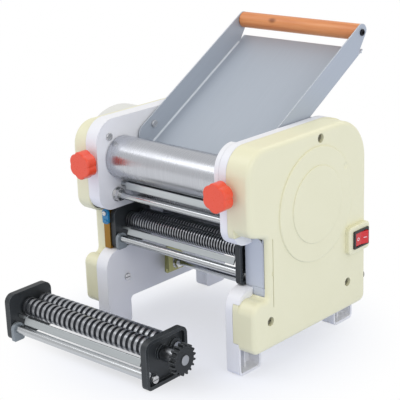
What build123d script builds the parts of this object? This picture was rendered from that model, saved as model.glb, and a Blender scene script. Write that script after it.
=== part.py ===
from build123d import *
import math
import os

# Electric pasta maker with a sheeting roller pair, a fitted fine cutter and a spare wide cutter.
# Millimetres. X runs along the rollers, -Y is the front where the pasta comes out, +Z is up.
# Everything is drawn round the machine's own zero (middle of the rollers, front of the lower
# block, table level) and shifted at the end so that the whole set is centred on the origin.

os.makedirs("parts", exist_ok=True)

# ---------------------------------------------------------------- driving dimensions
PANEL_INNER = 93.0          # inner face of each side panel, from the middle
PANEL_DEPTH = 18.0
COVER_DEPTH = 23.0
COVER_LAP = 7.7             # how far the right cover reaches over its panel's rim
PANEL_WALL = 3.0
COVER_WALL = 2.5
COVER_EDGE = 5.5            # rounding of the covers' outer edges
BODY_TOP = 258.0
BODY_BACK = 210.0
COVER_BACK = 205.0
COVER_BOTTOM = 30.0
LEFT_COVER_DROP = 5.0       # the left cover's top lies this far below the body's top
UPPER_FRONT = -4.0          # front of the upper block
LOWER_TOP = 98.2            # top of the lower block at the panels
UPPER_BOTTOM = 149.5        # underside of the upper block at the panels
SLOT_BACK = 77.5            # how far back the cutter slot reaches
COVER_STEP = 93.0
BAY_FRONT = 26.0            # front of the right cover's recess
LEFT_RECESS = 23.0
FOOT_HEIGHT = 33.0
FOOT_WIDTH = 37.0
RUNNING = 0.1               # radial clearance of a turning shaft
GAP = 0.3                   # clearance between separate pieces

ROLLER_R = 25.5
ROLLER_CLEARANCE = 1.0      # between the two sheeting rollers, and from each to the panels
JOURNAL_R = 8.0
FRONT_AXIS = (34.0, 210.0)
GAP_TRAVEL = 2.0            # how far the front roller can be moved away

KNOB_R = 16.5
LOBE_R = 9.0
KNOB_FRONT = -24.0
KNOB_DEPTH = 13.0
SCREW_R = 4.0

ROLLER_TEETH = 26
DRIVE_TEETH = 32
PINION_TEETH = 10
CUTTER_MODULE = 1.7
CUTTER_TEETH = 17
FEED_TEETH = 33             # rear roller gear that drives the cutter
THIN_TOOTH = 0.315          # tooth width as a share of the pitch, for the gears that move apart
CUTTER_TOOTH = 0.42

MOTOR_AXIS_RISE = 12.0      # drive shaft above the rear roller
MOTOR_R = 50.0
BULGE_R = 62.0
BULGE_DEPTH = 52.0
SHAFT_R = 6.0

PLATE_THICKNESS = 7.0       # cutter end plates
PLATE_DEPTH = 58.0
PLATE_HEIGHT = 50.0
CUTTER_FRONT = 18.0
CUTTER_FLOOR = 98.5
RING_R = 10.0
RING_GROOVE = 2.6
RING_BITE = 2.0             # how far the rings of one roller reach into the other's grooves
LATCH_R = 4.5
CUTTER_AXIS = (25.5, 31.5)  # front cutting roller, from the plate's lower front corner
FINE_PITCH = 4.0
WIDE_PITCH = 7.3
LATCH_AXIS = (6.0, 13.0)
SPARE_CENTRE = (-57.5, -58.6)
SPARE_TURN = 1.22
SPARE_SIZE = 1.14           # the spare cutter is the larger of the two

TRAY_ROOT = (88.0, 219.4)   # where the tray's floor line starts
TRAY_SLOPE = 30.3
TRAY_PIVOT = (9.0, 17.0)    # along the floor and above it
TRAY_SIDE_GAP = 2.0
TRAY_SHEET = 1.2
TRAY_REAR = 197.0
TRAY_WALL = 28.0
HANDLE_R = 9.75
HANDLE_AT = (205.6, 18.0)

TIE_R = 4.0
FRONT_TIE = (24.0, 166.5)
TRAY_TIE = (118.0, 230.6)
REAR_TIE = (118.0, 54.0)

SWITCH_AT = (186.0, 115.0)
SWITCH_RISE = 6.0
DISC_AT = (110.0, 175.0)
DISC_R = 65.5
LOWER_COVER_SCREWS = [(27.5, 63.0), (169.0, 64.0)]
RIGHT_COVER_SCREWS = [(118.6, BODY_TOP - 10.0)] + LOWER_COVER_SCREWS
LEFT_COVER_SCREWS = [(70.0, BODY_TOP - 18.0)] + LOWER_COVER_SCREWS
MOTOR_POSTS = [(40.0, 0.0), (20.0, 34.6), (20.0, -34.6), (-20.0, 34.6)]

# ---------------------------------------------------------------- sizes that follow
PANEL_OUTER = PANEL_INNER + PANEL_DEPTH     # joint between a panel and its cover
COVER_OUTER = PANEL_OUTER + COVER_DEPTH
PANEL_WEB = PANEL_INNER + PANEL_WALL
BOSS_END = PANEL_OUTER - 5
CHEEK_FACE = PANEL_INNER - 6.3
SHEET_HALF = PANEL_INNER - 10               # half the length of the scraper bars
ROLLER_HALF = PANEL_INNER - ROLLER_CLEARANCE
ROLLER_DISTANCE = 2 * ROLLER_R + ROLLER_CLEARANCE
ROLLER_MODULE = ROLLER_DISTANCE / ROLLER_TEETH
KNOB_X = PANEL_INNER + 10
BULGE_END = COVER_OUTER + BULGE_DEPTH
SWITCH_FACE = COVER_OUTER + SWITCH_RISE
TRAY_OUTER = PANEL_INNER - TRAY_SIDE_GAP
PLATE_IN = PANEL_INNER + 0.6
PLATE_OUT = PLATE_IN + PLATE_THICKNESS
PLATE_SIDE = PLATE_OUT + 0.6                # where the guide and the bay plates begin
RING_CORE = RING_R - RING_GROOVE
CUTTER_SPREAD = 2 * RING_R - RING_BITE
CUTTER_CENTRE = (CUTTER_FRONT + CUTTER_AXIS[0], CUTTER_FLOOR + CUTTER_AXIS[1])
IDLER_AXIS = (CUTTER_CENTRE[0] + CUTTER_MODULE * CUTTER_TEETH, CUTTER_CENTRE[1])
FEED_DISTANCE = CUTTER_MODULE * (FEED_TEETH + CUTTER_TEETH) / 2
GEAR_OUT = (PANEL_OUTER + 8.0, PANEL_OUTER + 15.2)      # feed, idler and cutter gears
GEAR_IN = (PANEL_OUTER + 2.6, PANEL_OUTER + 7.2)        # motor pinion and the large gear
GEAR_LEFT = (PANEL_OUTER + 1.5, PANEL_OUTER + 7.5)      # the pair that joins the two rollers


# ---------------------------------------------------------------- helpers
def meeting_point(a, reach_a, b, reach_b):
    """Rear point at the given distances from a and b, in side view."""
    dy, dz = b[0] - a[0], b[1] - a[1]
    span = math.hypot(dy, dz)
    along = (reach_a ** 2 - reach_b ** 2 + span ** 2) / (2 * span)
    off = math.sqrt(reach_a ** 2 - along ** 2)
    return (a[0] + (along * dy - off * dz) / span, a[1] + (along * dz + off * dy) / span)


def rounded(corners):
    """Closed outline from (u, v, radius) corners."""
    stops = []
    count = len(corners)
    for i in range(count):
        here = Vector(corners[i][0], corners[i][1])
        before = (Vector(corners[i - 1][0], corners[i - 1][1]) - here).normalized()
        after_corner = corners[(i + 1) % count]
        after = (Vector(after_corner[0], after_corner[1]) - here).normalized()
        radius = corners[i][2]
        if radius == 0:
            stops.append((here, None, here))
            continue
        half = math.acos(max(-1.0, min(1.0, before.dot(after)))) / 2
        reach = radius / math.tan(half)
        middle = here + (before + after).normalized() * (radius / math.sin(half) - radius)
        stops.append((here + before * reach, middle, here + after * reach))
    edges = []
    for i in range(count):
        start, middle, end = stops[i]
        last = stops[i - 1][2]
        if (start - last).length > 1e-4:
            edges.append(Line(last, start))
        if middle is not None:
            edges.append(ThreePointArc(start, middle, end))
    return make_face(edges)


def slab(x0, x1, outline):
    """Side-view outline (Y, Z) made solid from x0 to x1."""
    return extrude(Plane.YZ.offset(min(x0, x1)) * outline, abs(x1 - x0))


def rod(x0, x1, at, radius):
    """Round bar along X at a side-view point."""
    return Pos((x0 + x1) / 2, at[0], at[1]) * Rot(0, 90, 0) * Cylinder(radius, abs(x1 - x0))


def block(x0, x1, y0, y1, z0, z1):
    size = (abs(x1 - x0), abs(y1 - y0), abs(z1 - z0))
    return Pos((x0 + x1) / 2, (y0 + y1) / 2, (z0 + z1) / 2) * Box(*size)


def flip(shape):
    return mirror(shape, Plane.YZ)


def involute(angle):
    return math.tan(angle) - angle


def gear(teeth, module, share, x0, x1, at, tooth, bore):
    """Spur gear; share is the tooth width over the pitch, tooth the angle of one tooth."""
    pitch_r = module * teeth / 2
    base_r = pitch_r * math.cos(math.radians(20))
    tip_r = pitch_r + 0.7 * module
    root_r = pitch_r - 1.0 * module
    half_at_pitch = share * math.pi / teeth

    def half(radius):
        pressure = math.acos(min(1.0, base_r / max(radius, base_r)))
        return half_at_pitch + involute(math.radians(20)) - involute(pressure)

    points = []
    for k in range(teeth):
        middle = math.radians(tooth) + 2 * math.pi * k / teeth
        for side in (-1, 1):
            for radius in (root_r, pitch_r, tip_r)[::-side]:
                angle = middle + side * half(radius)
                points.append((at[0] + radius * math.cos(angle), at[1] + radius * math.sin(angle)))
    outline = make_face(Polyline(*points, close=True))
    return slab(x0, x1, outline) - rod(x0 - 1, x1 + 1, at, bore)


def meshing_tooth(teeth_a, tooth_a, teeth_b, direction):
    """Tooth angle of gear b that sits in mesh with gear a; direction points from a to b."""
    return direction + 180 + (180 - (tooth_a - direction) * teeth_a) / teeth_b


def heading(a, b):
    return math.degrees(math.atan2(b[1] - a[1], b[0] - a[0]))


def screw_x(x_head, x_tip, at, head_r, shank_r, head_h, slot=True):
    """Screw along X: the head stands outward from x_head, the shank runs to x_tip."""
    way = 1 if x_head > x_tip else -1
    body = rod(x_head, x_head + way * head_h, at, head_r)
    rim = body.edges().filter_by(GeomType.CIRCLE).sort_by(Axis.X)[-1 if way > 0 else 0]
    body = fillet(rim, min(0.8, head_h / 2.5)) + rod(x_head, x_tip, at, shank_r)
    if slot:
        top = x_head + way * head_h
        body -= block(top - way * 0.9, top + way, at[0] - head_r, at[0] + head_r,
                      at[1] - 0.5, at[1] + 0.5)
    return body


def group(shapes):
    return Compound([solid for shape in shapes for solid in shape.solids()])


REAR_AXIS = meeting_point(FRONT_AXIS, ROLLER_DISTANCE, IDLER_AXIS, FEED_DISTANCE)
DRIVE_REACH = ROLLER_MODULE * (DRIVE_TEETH + PINION_TEETH) / 2
DRIVE_AXIS = (REAR_AXIS[0] + math.sqrt(DRIVE_REACH ** 2 - MOTOR_AXIS_RISE ** 2),
              REAR_AXIS[1] + MOTOR_AXIS_RISE)
nodes = {}

# ---------------------------------------------------------------- side panels with feet
panel_outline = rounded([
    (0, 0, 6), (FOOT_WIDTH, 0, 6), (FOOT_WIDTH, FOOT_HEIGHT, 5),
    (BODY_BACK - FOOT_WIDTH, FOOT_HEIGHT, 5), (BODY_BACK - FOOT_WIDTH, 0, 6), (BODY_BACK, 0, 6),
    (BODY_BACK, BODY_TOP, 50), (UPPER_FRONT, BODY_TOP, 28), (UPPER_FRONT, UPPER_BOTTOM, 20),
    (SLOT_BACK, UPPER_BOTTOM, 4), (SLOT_BACK, LOWER_TOP, 4), (0, LOWER_TOP, 22)])
panel = slab(PANEL_INNER, PANEL_OUTER, panel_outline)
panel -= slab(PANEL_WEB, PANEL_OUTER + 1, offset(panel_outline, -PANEL_WALL))

# ribs across the hollow of each foot
for y in (FOOT_WIDTH / 2, BODY_BACK - FOOT_WIDTH / 2):
    panel += block(PANEL_WEB - 1, PANEL_OUTER - 8, y - 1.2, y + 1.2, 2, FOOT_HEIGHT + 4)
# guides above and below each sliding bearing block
for z in (FRONT_AXIS[1] - 17.8, FRONT_AXIS[1] + 15.3):
    panel += block(PANEL_WEB - 1, PANEL_OUTER - 1.5, 6, 62, z, z + 2.5)
panel -= slab(PANEL_INNER - 1, PANEL_WEB + 1, Pos(FRONT_AXIS[0] - GAP_TRAVEL / 2, FRONT_AXIS[1])
              * SlotOverall(2 * (JOURNAL_R + 1.2) + GAP_TRAVEL, 2 * (JOURNAL_R + 1.2)))
# bosses for the rear roller's bushes and the drive shaft
BUSH_R = JOURNAL_R + 3
panel += rod(PANEL_WEB - 1, BOSS_END, REAR_AXIS, 14) + rod(PANEL_WEB - 1, BOSS_END, DRIVE_AXIS, 11)
panel -= rod(PANEL_INNER - 1, BOSS_END + 1, REAR_AXIS, BUSH_R)
panel -= rod(PANEL_INNER - 1, BOSS_END + 1, DRIVE_AXIS, SHAFT_R + RUNNING)
# hole for the adjusting screw in the front wall, and the pivot holes of the tray
panel -= Pos(KNOB_X, UPPER_FRONT, FRONT_AXIS[1]) * Rot(90, 0, 0) * Cylinder(SCREW_R + 0.2, 12)


def tray_point(s, n):
    c, d = math.cos(math.radians(TRAY_SLOPE)), math.sin(math.radians(TRAY_SLOPE))
    return (TRAY_ROOT[0] + s * c - n * d, TRAY_ROOT[1] + s * d + n * c)


pivot_at = tray_point(*TRAY_PIVOT)
TIE_END = PANEL_INNER + 6
panel += rod(PANEL_WEB - 1, PANEL_INNER + 10, pivot_at, 7)
panel -= rod(PANEL_INNER - 1, PANEL_INNER + 8, pivot_at, 3 + RUNNING)
for at in (FRONT_TIE, TRAY_TIE, REAR_TIE):
    panel += rod(PANEL_WEB - 1, TIE_END + 3, at, 8)
    panel -= rod(PANEL_INNER - 1, TIE_END, at, TIE_R)
# scraper bars: the front one lies under its roller, the rear one below and behind its own
FRONT_BAR_TOP = FRONT_AXIS[1] - ROLLER_R - 2.5
REAR_BAR_TURN = math.radians(-48.6)
rear_bar_corner = (REAR_AXIS[0] + (ROLLER_R + 1.7) * math.cos(REAR_BAR_TURN),
                   REAR_AXIS[1] + (ROLLER_R + 1.7) * math.sin(REAR_BAR_TURN))
scraper_pins = [(33.0, FRONT_BAR_TOP - 5), (rear_bar_corner[0] + 3.5, rear_bar_corner[1] - 3)]
for at in scraper_pins:
    panel -= rod(PANEL_INNER - 1, PANEL_WEB + 1, at, 2.5)

def with_cover_posts(shape, places):
    for at in places:
        shape += rod(PANEL_WEB - 1, PANEL_OUTER, at, 5)
        shape -= rod(PANEL_WEB + 3, PANEL_OUTER + 1, at, 2.1)
    return shape


def with_panel_screws(shape, places):
    for at in places:
        shape += rod(PANEL_WEB - 1, PANEL_INNER + 6.5, at, 4.5)
        shape -= rod(PANEL_INNER - 1, PANEL_INNER + 7, at, 2.1)
    return shape


# the panel screws seen on the inner faces
UPPER_PANEL_SCREW = (16.0, BODY_TOP - 20.4)
LOWER_PANEL_SCREW = (32.5, 59.6)
panel_screw_at = [UPPER_PANEL_SCREW, LOWER_PANEL_SCREW]
left_panel = flip(with_panel_screws(with_cover_posts(panel, LEFT_COVER_SCREWS), panel_screw_at))
right_panel = with_panel_screws(with_cover_posts(panel, RIGHT_COVER_SCREWS), panel_screw_at)
screws = []
for at in panel_screw_at:
    screws.append(screw_x(-PANEL_INNER, -PANEL_INNER - 5.5, at, 4.6, 2.0, 2.2))
    right_seat = CHEEK_FACE if at == UPPER_PANEL_SCREW else PANEL_INNER
    screws.append(flip(screw_x(-right_seat, -PANEL_INNER - 5.5, at, 4.6, 2.0, 2.2)))
# motor posts stand on the left panel
MOTOR_SEAT = PANEL_OUTER - 6
motor_post_at = [(DRIVE_AXIS[0] + y, DRIVE_AXIS[1] + z) for y, z in MOTOR_POSTS]
for at in motor_post_at:
    left_panel += rod(-PANEL_WEB + 1, -MOTOR_SEAT, at, 6.5)
# the right cover's rim lies over this band of the panel's rim, above and below the bay
BAY_LOW = LOWER_TOP - 14
BAY_HIGH = UPPER_BOTTOM + 12
FAR = PANEL_OUTER + 2
band = slab(PANEL_OUTER - COVER_LAP, PANEL_OUTER, panel_outline)
band -= slab(0, FAR, offset(panel_outline, -PANEL_WALL))
band -= block(0, FAR, -10, BODY_BACK + 10, -10, FOOT_HEIGHT + 6)
band -= block(0, FAR, -10, SLOT_BACK + 5, BAY_LOW, BAY_HIGH)
band -= Pos(KNOB_X, 0, FRONT_AXIS[1]) * Rot(90, 0, 0) * Cylinder(4.2, 60)
cleared = slab(PANEL_OUTER - COVER_LAP - GAP, PANEL_OUTER + 1, offset(panel_outline, 1))
cleared -= slab(0, FAR, offset(panel_outline, -PANEL_WALL))
cleared -= block(0, FAR, -10, BODY_BACK + 10, -10, FOOT_HEIGHT + 6 - GAP)
cleared -= block(0, FAR, -10, SLOT_BACK + 5, BAY_LOW + GAP, BAY_HIGH - GAP)
right_panel -= cleared
# thin walls in the panel's outer plane that close the corners over and under the bay
face = slab(PANEL_OUTER - 1.2, PANEL_OUTER, panel_outline)
right_panel += face & block(0, FAR, -10, BAY_FRONT - GAP, UPPER_BOTTOM - 1, BAY_HIGH - GAP)
right_panel += face & block(0, FAR, -10, BAY_FRONT - GAP, BAY_LOW + GAP, LOWER_TOP + 1)
band += face & block(0, FAR, -10, BAY_FRONT - GAP, BAY_HIGH, BAY_HIGH + 12)
band += face & block(0, FAR, -10, BAY_FRONT - GAP, BAY_LOW - 12, BAY_LOW)
nodes["left_inner_panel"] = left_panel
nodes["right_inner_panel"] = right_panel

# ---------------------------------------------------------------- covers
right_outline = rounded([
    (0, COVER_BOTTOM, 8), (COVER_BACK, COVER_BOTTOM, 10), (COVER_BACK, BODY_TOP, 50),
    (UPPER_FRONT, BODY_TOP, 28), (UPPER_FRONT, 166, 12), (BAY_FRONT, 157.5, 6),
    (BAY_FRONT, 86, 6), (0, COVER_STEP, 14)])
left_outline = rounded([
    (0, COVER_BOTTOM, 8), (COVER_BACK, COVER_BOTTOM, 10), (COVER_BACK, BODY_TOP - LEFT_COVER_DROP, 50),
    (UPPER_FRONT, BODY_TOP - LEFT_COVER_DROP, 28), (UPPER_FRONT, 146, 18), (LEFT_RECESS, 146, 5),
    (LEFT_RECESS, 86, 5), (0, COVER_STEP, 11)])


def cover_shell(outline, screw_places):
    solid = slab(PANEL_OUTER, COVER_OUTER, outline)
    rim = solid.faces().sort_by(Axis.X)[-1].edges()
    solid = fillet(rim, COVER_EDGE)
    solid -= slab(PANEL_OUTER - 1, COVER_OUTER - COVER_WALL, offset(outline, -COVER_WALL))
    for at in screw_places:
        solid += rod(PANEL_OUTER, COVER_OUTER - 1, at, 6.5)
        solid -= rod(COVER_OUTER - 5, COVER_OUTER + 1, at, 5.2)
        solid -= rod(PANEL_OUTER - 1, COVER_OUTER, at, 2.2)
    return solid


right_cover = cover_shell(right_outline, RIGHT_COVER_SCREWS) + band
# raised round field with a stepped middle
disc = rod(COVER_OUTER - 1, COVER_OUTER + 1.8, DISC_AT, DISC_R)
disc = fillet(disc.edges().filter_by(GeomType.CIRCLE).sort_by(Axis.X)[-1], 1.5)
step = rod(COVER_OUTER, COVER_OUTER + 3.0, DISC_AT, 44)
step = fillet(step.edges().filter_by(GeomType.CIRCLE).sort_by(Axis.X)[-1], 1.0)
right_cover += disc + step
right_cover -= Pos(COVER_OUTER + 8.5, 162.5, 207) * Sphere(8)
# block for the switch
boss = slab(COVER_OUTER - 1, SWITCH_FACE, Pos(184.5, 115) * RectangleRounded(40, 33, 5))
boss = fillet(boss.faces().sort_by(Axis.X)[-1].edges(), 2)
right_cover += boss
right_cover -= block(COVER_OUTER - 6, SWITCH_FACE + 1, SWITCH_AT[0] - 13, SWITCH_AT[0] + 13,
                     SWITCH_AT[1] - 9.3, SWITCH_AT[1] + 9.3)
# opening behind the bay's grey plates
right_cover -= block(PANEL_OUTER - 1, COVER_OUTER - 7.5, BAY_FRONT - 1, BAY_FRONT + 4, 84, 156)
right_cover -= block(COVER_OUTER - 8, COVER_OUTER - 6.4, BAY_FRONT - 1, BAY_FRONT + 1.9, 84, 156)
# fine parting slit and finger notch on the outside of the bay
right_cover -= block(COVER_OUTER - 1.2, COVER_OUTER + 1, 32.6, 33.6, 78, 156)
right_cover -= block(COVER_OUTER - 1.2, COVER_OUTER + 1, 31.0, 33.0, 115, 119.5)
# pin hole of the bay door and cord gland hole
DOOR_PIN = (COVER_OUTER - 8.3, BAY_FRONT + 0.9)
DOOR_PIN_R = 0.7
right_cover -= Pos(DOOR_PIN[0], DOOR_PIN[1], 157) * Cylinder(DOOR_PIN_R + RUNNING, 4.4)
GLAND_AT = (PANEL_OUTER + 11, 60.0)
right_cover -= Pos(GLAND_AT[0], COVER_BACK, GLAND_AT[1]) * Rot(90, 0, 0) * Cylinder(6, 8)
nodes["right_outer_cover"] = right_cover

left_cover = cover_shell(left_outline, LEFT_COVER_SCREWS)
bulge_at = (DRIVE_AXIS[0], DRIVE_AXIS[1])
left_cover -= rod(COVER_OUTER - 4, COVER_OUTER + 1, bulge_at, BULGE_R - 5)
nodes["left_outer_cover"] = flip(left_cover)

bulge = rod(COVER_OUTER + 0.2, BULGE_END, bulge_at, BULGE_R)
bulge = fillet(bulge.edges().filter_by(GeomType.CIRCLE).sort_by(Axis.X)[-1], 12)
hollow = rod(COVER_OUTER - 1, BULGE_END - COVER_WALL, bulge_at, BULGE_R - COVER_WALL)
hollow = fillet(hollow.edges().filter_by(GeomType.CIRCLE).sort_by(Axis.X)[-1], 10)
bulge -= hollow
# locating collar inside the cover's hole, and cooling slots in the end
bulge += rod(COVER_OUTER - 2.3, COVER_OUTER + 1, bulge_at, BULGE_R - 5.3) - rod(
    COVER_OUTER - 4, COVER_OUTER + 2, bulge_at, BULGE_R - 7.5)
for k in range(-4, 5):
    half = math.sqrt(36 ** 2 - (7 * k) ** 2)
    bulge -= slab(BULGE_END - 5, BULGE_END + 1,
                  Pos(bulge_at[0], bulge_at[1] + 7 * k) * SlotOverall(2 * half, 3))
bulge += rod(COVER_OUTER + 0.2, COVER_OUTER + 2, bulge_at, BULGE_R - 1) - rod(
    COVER_OUTER - 1, COVER_OUTER + 3, bulge_at, BULGE_R - 7.5)
nodes["motor_cover"] = flip(bulge)

cover_screws = []
for side, places in ((1, RIGHT_COVER_SCREWS), (-1, LEFT_COVER_SCREWS)):
    for at in places:
        screw = screw_x(COVER_OUTER - 5, PANEL_INNER + 7, at, 4.2, 2.0, 2.4)
        cover_screws.append(screw if side > 0 else flip(screw))
nodes["cover_screws"] = group(cover_screws)

# ---------------------------------------------------------------- cheek in front of the roller's right end
cheek_outline = rounded([
    (UPPER_FRONT, FRONT_AXIS[1] - 7, 4), (30, FRONT_AXIS[1] - 7, 2), (30, BODY_TOP, 6),
    (UPPER_FRONT, BODY_TOP, 28)])
cheek = slab(CHEEK_FACE, PANEL_INNER - 0.2, cheek_outline)
cheek -= slab(CHEEK_FACE - 1, PANEL_INNER, Pos(*FRONT_AXIS) * Circle(ROLLER_R + GAP_TRAVEL + 1.5))
cheek -= rod(CHEEK_FACE - 1, PANEL_INNER, UPPER_PANEL_SCREW, 2.1)
nodes["cheek_plate"] = cheek

# ---------------------------------------------------------------- recess on the right: plates and door
lower_plate = block(PANEL_OUTER + GAP, COVER_OUTER - 7.7, BAY_FRONT, BAY_FRONT + 1.6, 84.3, 99.7)
lower_plate += block(PLATE_SIDE, PANEL_OUTER + 1, BAY_FRONT, BAY_FRONT + 1.6, LOWER_TOP + GAP, 99.7)
lower_plate += block(COVER_OUTER - 9.6, COVER_OUTER - 6.6, BAY_FRONT + 0.2, BAY_FRONT + 1.6, 84.3, 99.7)
lower_plate -= Pos(DOOR_PIN[0], DOOR_PIN[1], 98.5) * Cylinder(DOOR_PIN_R + RUNNING, 4)
nodes["bay_lower_plate"] = lower_plate

DOOR_EDGE = COVER_OUTER - 8.8
door_face = rounded([(PLATE_SIDE, 100.0, 0), (DOOR_EDGE, 100.0, 0), (DOOR_EDGE, 155.4, 7),
                     (PANEL_OUTER + GAP, 155.4, 0), (PANEL_OUTER + GAP, UPPER_BOTTOM - GAP, 0),
                     (PLATE_SIDE, UPPER_BOTTOM - GAP, 0)])
door = extrude(Plane.XZ.offset(-(BAY_FRONT + 1.6)) * door_face, 1.6)
door += Pos(DOOR_PIN[0], DOOR_PIN[1], 124) * Cylinder(0.8, 47.6)
door += Pos(DOOR_PIN[0], DOOR_PIN[1], 127.8) * Cylinder(DOOR_PIN_R, 58.6)
nodes["bay_door"] = door

# ---------------------------------------------------------------- recess on the left: guide and clip
guide_span = (LOWER_TOP + GAP, UPPER_BOTTOM - GAP)
guide = block(-PANEL_OUTER + GAP, -PLATE_SIDE, 16, 17.5, *guide_span)
guide += block(-PLATE_SIDE - 1.5, -PLATE_SIDE, 16, 73, *guide_span)
guide += block(-PANEL_OUTER + GAP, -PLATE_SIDE, 71.5, 73, *guide_span)
CLIP_AT = (-PLATE_SIDE - 3.0, UPPER_BOTTOM - 6.2)
CLIP_HALF = 4.9
CLIP_DROP = 13.4            # how far the clip hangs below its screw
guide -= Pos(CLIP_AT[0], 16, CLIP_AT[1]) * Rot(90, 0, 0) * Cylinder(1.5, 6)
nodes["cutter_guide_plate"] = guide

clip_face = rounded([
    (CLIP_AT[0] - CLIP_HALF, CLIP_AT[1] - CLIP_DROP, 3), (CLIP_AT[0] + CLIP_HALF, CLIP_AT[1] - CLIP_DROP, 3),
    (CLIP_AT[0] + CLIP_HALF, CLIP_AT[1] + CLIP_HALF, CLIP_HALF - 0.2),
    (CLIP_AT[0] - CLIP_HALF, CLIP_AT[1] + CLIP_HALF, CLIP_HALF - 0.2)])
clip = extrude(Plane.XZ.offset(-15.6) * clip_face, 3.0)
clip -= Pos(CLIP_AT[0], 14, CLIP_AT[1]) * Rot(90, 0, 0) * Cylinder(1.5 + RUNNING, 6)
clip += extrude(Plane.XZ.offset(-13) * (Pos(CLIP_AT[0], CLIP_AT[1] - 9.6) * SlotOverall(6.4, 3.0)), 1.6)
nodes["cutter_clip"] = clip
clip_screw = Pos(CLIP_AT[0], 11.4, CLIP_AT[1]) * Rot(90, 0, 0) * Cylinder(2.9, 1.8)
clip_screw = fillet(clip_screw.edges().filter_by(GeomType.CIRCLE).sort_by(Axis.Y)[0], 0.7)
clip_screw += Pos(CLIP_AT[0], 14.6, CLIP_AT[1]) * Rot(90, 0, 0) * Cylinder(1.5, 5.4)
clip_screw -= block(CLIP_AT[0] - 3, CLIP_AT[0] + 3, 10, 11.1, CLIP_AT[1] - 0.4, CLIP_AT[1] + 0.4)
screws.append(clip_screw)
nodes["panel_screws"] = group(screws)

# ---------------------------------------------------------------- tie rods, scrapers, guards
nodes["tie_rods"] = group(rod(-TIE_END, TIE_END, at, TIE_R) for at in (FRONT_TIE, TRAY_TIE, REAR_TIE))
nuts = []
for at in (FRONT_TIE, REAR_TIE):
    washer = rod(PANEL_INNER, PANEL_INNER - 1.4, at, 8.6)
    nut = slab(PANEL_INNER - 7.5, PANEL_INNER - 1.4, Pos(*at) * RegularPolygon(7.6, 6))
    one = washer + nut - rod(PANEL_INNER + 1, PANEL_INNER - 9, at, TIE_R)
    nuts += [one, flip(one)]
nodes["tie_rod_nuts"] = group(nuts)

front_bar = rounded([(29, FRONT_BAR_TOP - 10, 1), (38, FRONT_BAR_TOP - 10, 2),
                     (38, FRONT_BAR_TOP, 1), (29, FRONT_BAR_TOP, 1)])
front_scraper = slab(-SHEET_HALF, SHEET_HALF, front_bar)
for side in (-1, 1):
    notch = rounded([(side * (SHEET_HALF + 0.5), FRONT_BAR_TOP - 16, 0),
                     (side * (SHEET_HALF + 0.5), FRONT_BAR_TOP - 8, 0),
                     (side * (SHEET_HALF - 4), FRONT_BAR_TOP - 16, 0)])
    front_scraper -= extrude(Plane.XZ.offset(-45) * notch, 20)
front_scraper += rod(-PANEL_WEB + 0.2, PANEL_WEB - 0.2, scraper_pins[0], 2.5)
rear_bar = Pos(rear_bar_corner[0] + 3.5, rear_bar_corner[1] - 3) * RectangleRounded(7, 6, 1)
rear_scraper = slab(-SHEET_HALF, SHEET_HALF, rear_bar)
rear_scraper += rod(-PANEL_WEB + 0.2, PANEL_WEB - 0.2, scraper_pins[1], 2.5)
nodes["roller_scrapers"] = group([front_scraper, rear_scraper])

back_arc = rounded([(99, BODY_TOP - 3, 0), (BODY_BACK - 3, BODY_TOP - 3, 48), (BODY_BACK - 3, 118, 2),
                    (BODY_BACK - 5, 118, 0), (BODY_BACK - 5, BODY_TOP - 5, 46), (99, BODY_TOP - 5, 0)])
TRAY_CLEAR = TRAY_ROOT[0] + (BODY_TOP - TRAY_ROOT[1]) / math.tan(math.radians(TRAY_SLOPE)) + 18
back_trim = block(-PANEL_INNER, PANEL_INNER, 90, TRAY_CLEAR, 200, BODY_TOP + 12)
BETWEEN = PANEL_INNER - GAP
rear_cover = slab(-BETWEEN, BETWEEN, back_arc) - back_trim
rear_cover += block(-BETWEEN, BETWEEN, BODY_BACK - 12, BODY_BACK - 3, 118, 120)
for side in (-1, 1):
    for z in (135, 190):
        rear_cover += block(side * BETWEEN, side * (BETWEEN - 2), BODY_BACK - 16, BODY_BACK - 4, z, z + 12)
nodes["rear_cover"] = rear_cover

guard = block(-BETWEEN, BETWEEN, 99, 100.2, 118, 200) + block(-BETWEEN, BETWEEN, 99, 106, 118, 119.2)
shelf = block(-BETWEEN, BETWEEN, TRAY_CLEAR - 21, TRAY_CLEAR - GAP, BODY_TOP - 7, BODY_TOP - 5.8)
for side in (-1, 1):
    guard += block(side * BETWEEN, side * (BETWEEN - 1.2), 99, 109, 125, 170)
    shelf += block(side * BETWEEN, side * (BETWEEN - 1.2), TRAY_CLEAR - 18, TRAY_CLEAR - 3,
                   BODY_TOP - 18, BODY_TOP - 6)
nodes["inner_guard"] = group([guard, shelf])

bracket_outline = rounded([(97, 43, 4), (140, 43, 4), (132, 60, 3), (112, 78, 4), (99, 78, 4)])
bracket = slab(-PANEL_INNER, -PANEL_INNER + 2, bracket_outline)
bracket -= rod(-PANEL_INNER - 1, -PANEL_INNER + 3, REAR_TIE, 9)
for at in ((104, 49), (133, 48), (106, 71)):
    bracket -= rod(-PANEL_INNER - 1, -PANEL_INNER + 3, at, 2.2)
bracket += block(-PANEL_INNER + 1.5, -PANEL_INNER + 13, 97, 99, 50, 74)
bracket += block(-PANEL_INNER + 11, -PANEL_INNER + 13, 92, 99, 50, 74)
nodes["motor_bracket"] = bracket

# ---------------------------------------------------------------- sheeting rollers and their gears
tooth_front = heading(FRONT_AXIS, REAR_AXIS)
tooth_rear = meshing_tooth(ROLLER_TEETH, tooth_front, ROLLER_TEETH, tooth_front)


def sheeting_roller(at, left_end, right_end):
    body = rod(-ROLLER_HALF, ROLLER_HALF, at, ROLLER_R)
    rims = body.edges().filter_by(GeomType.CIRCLE)
    body = chamfer(rims, 0.6)
    return body + rod(left_end, right_end, at, JOURNAL_R)


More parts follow.
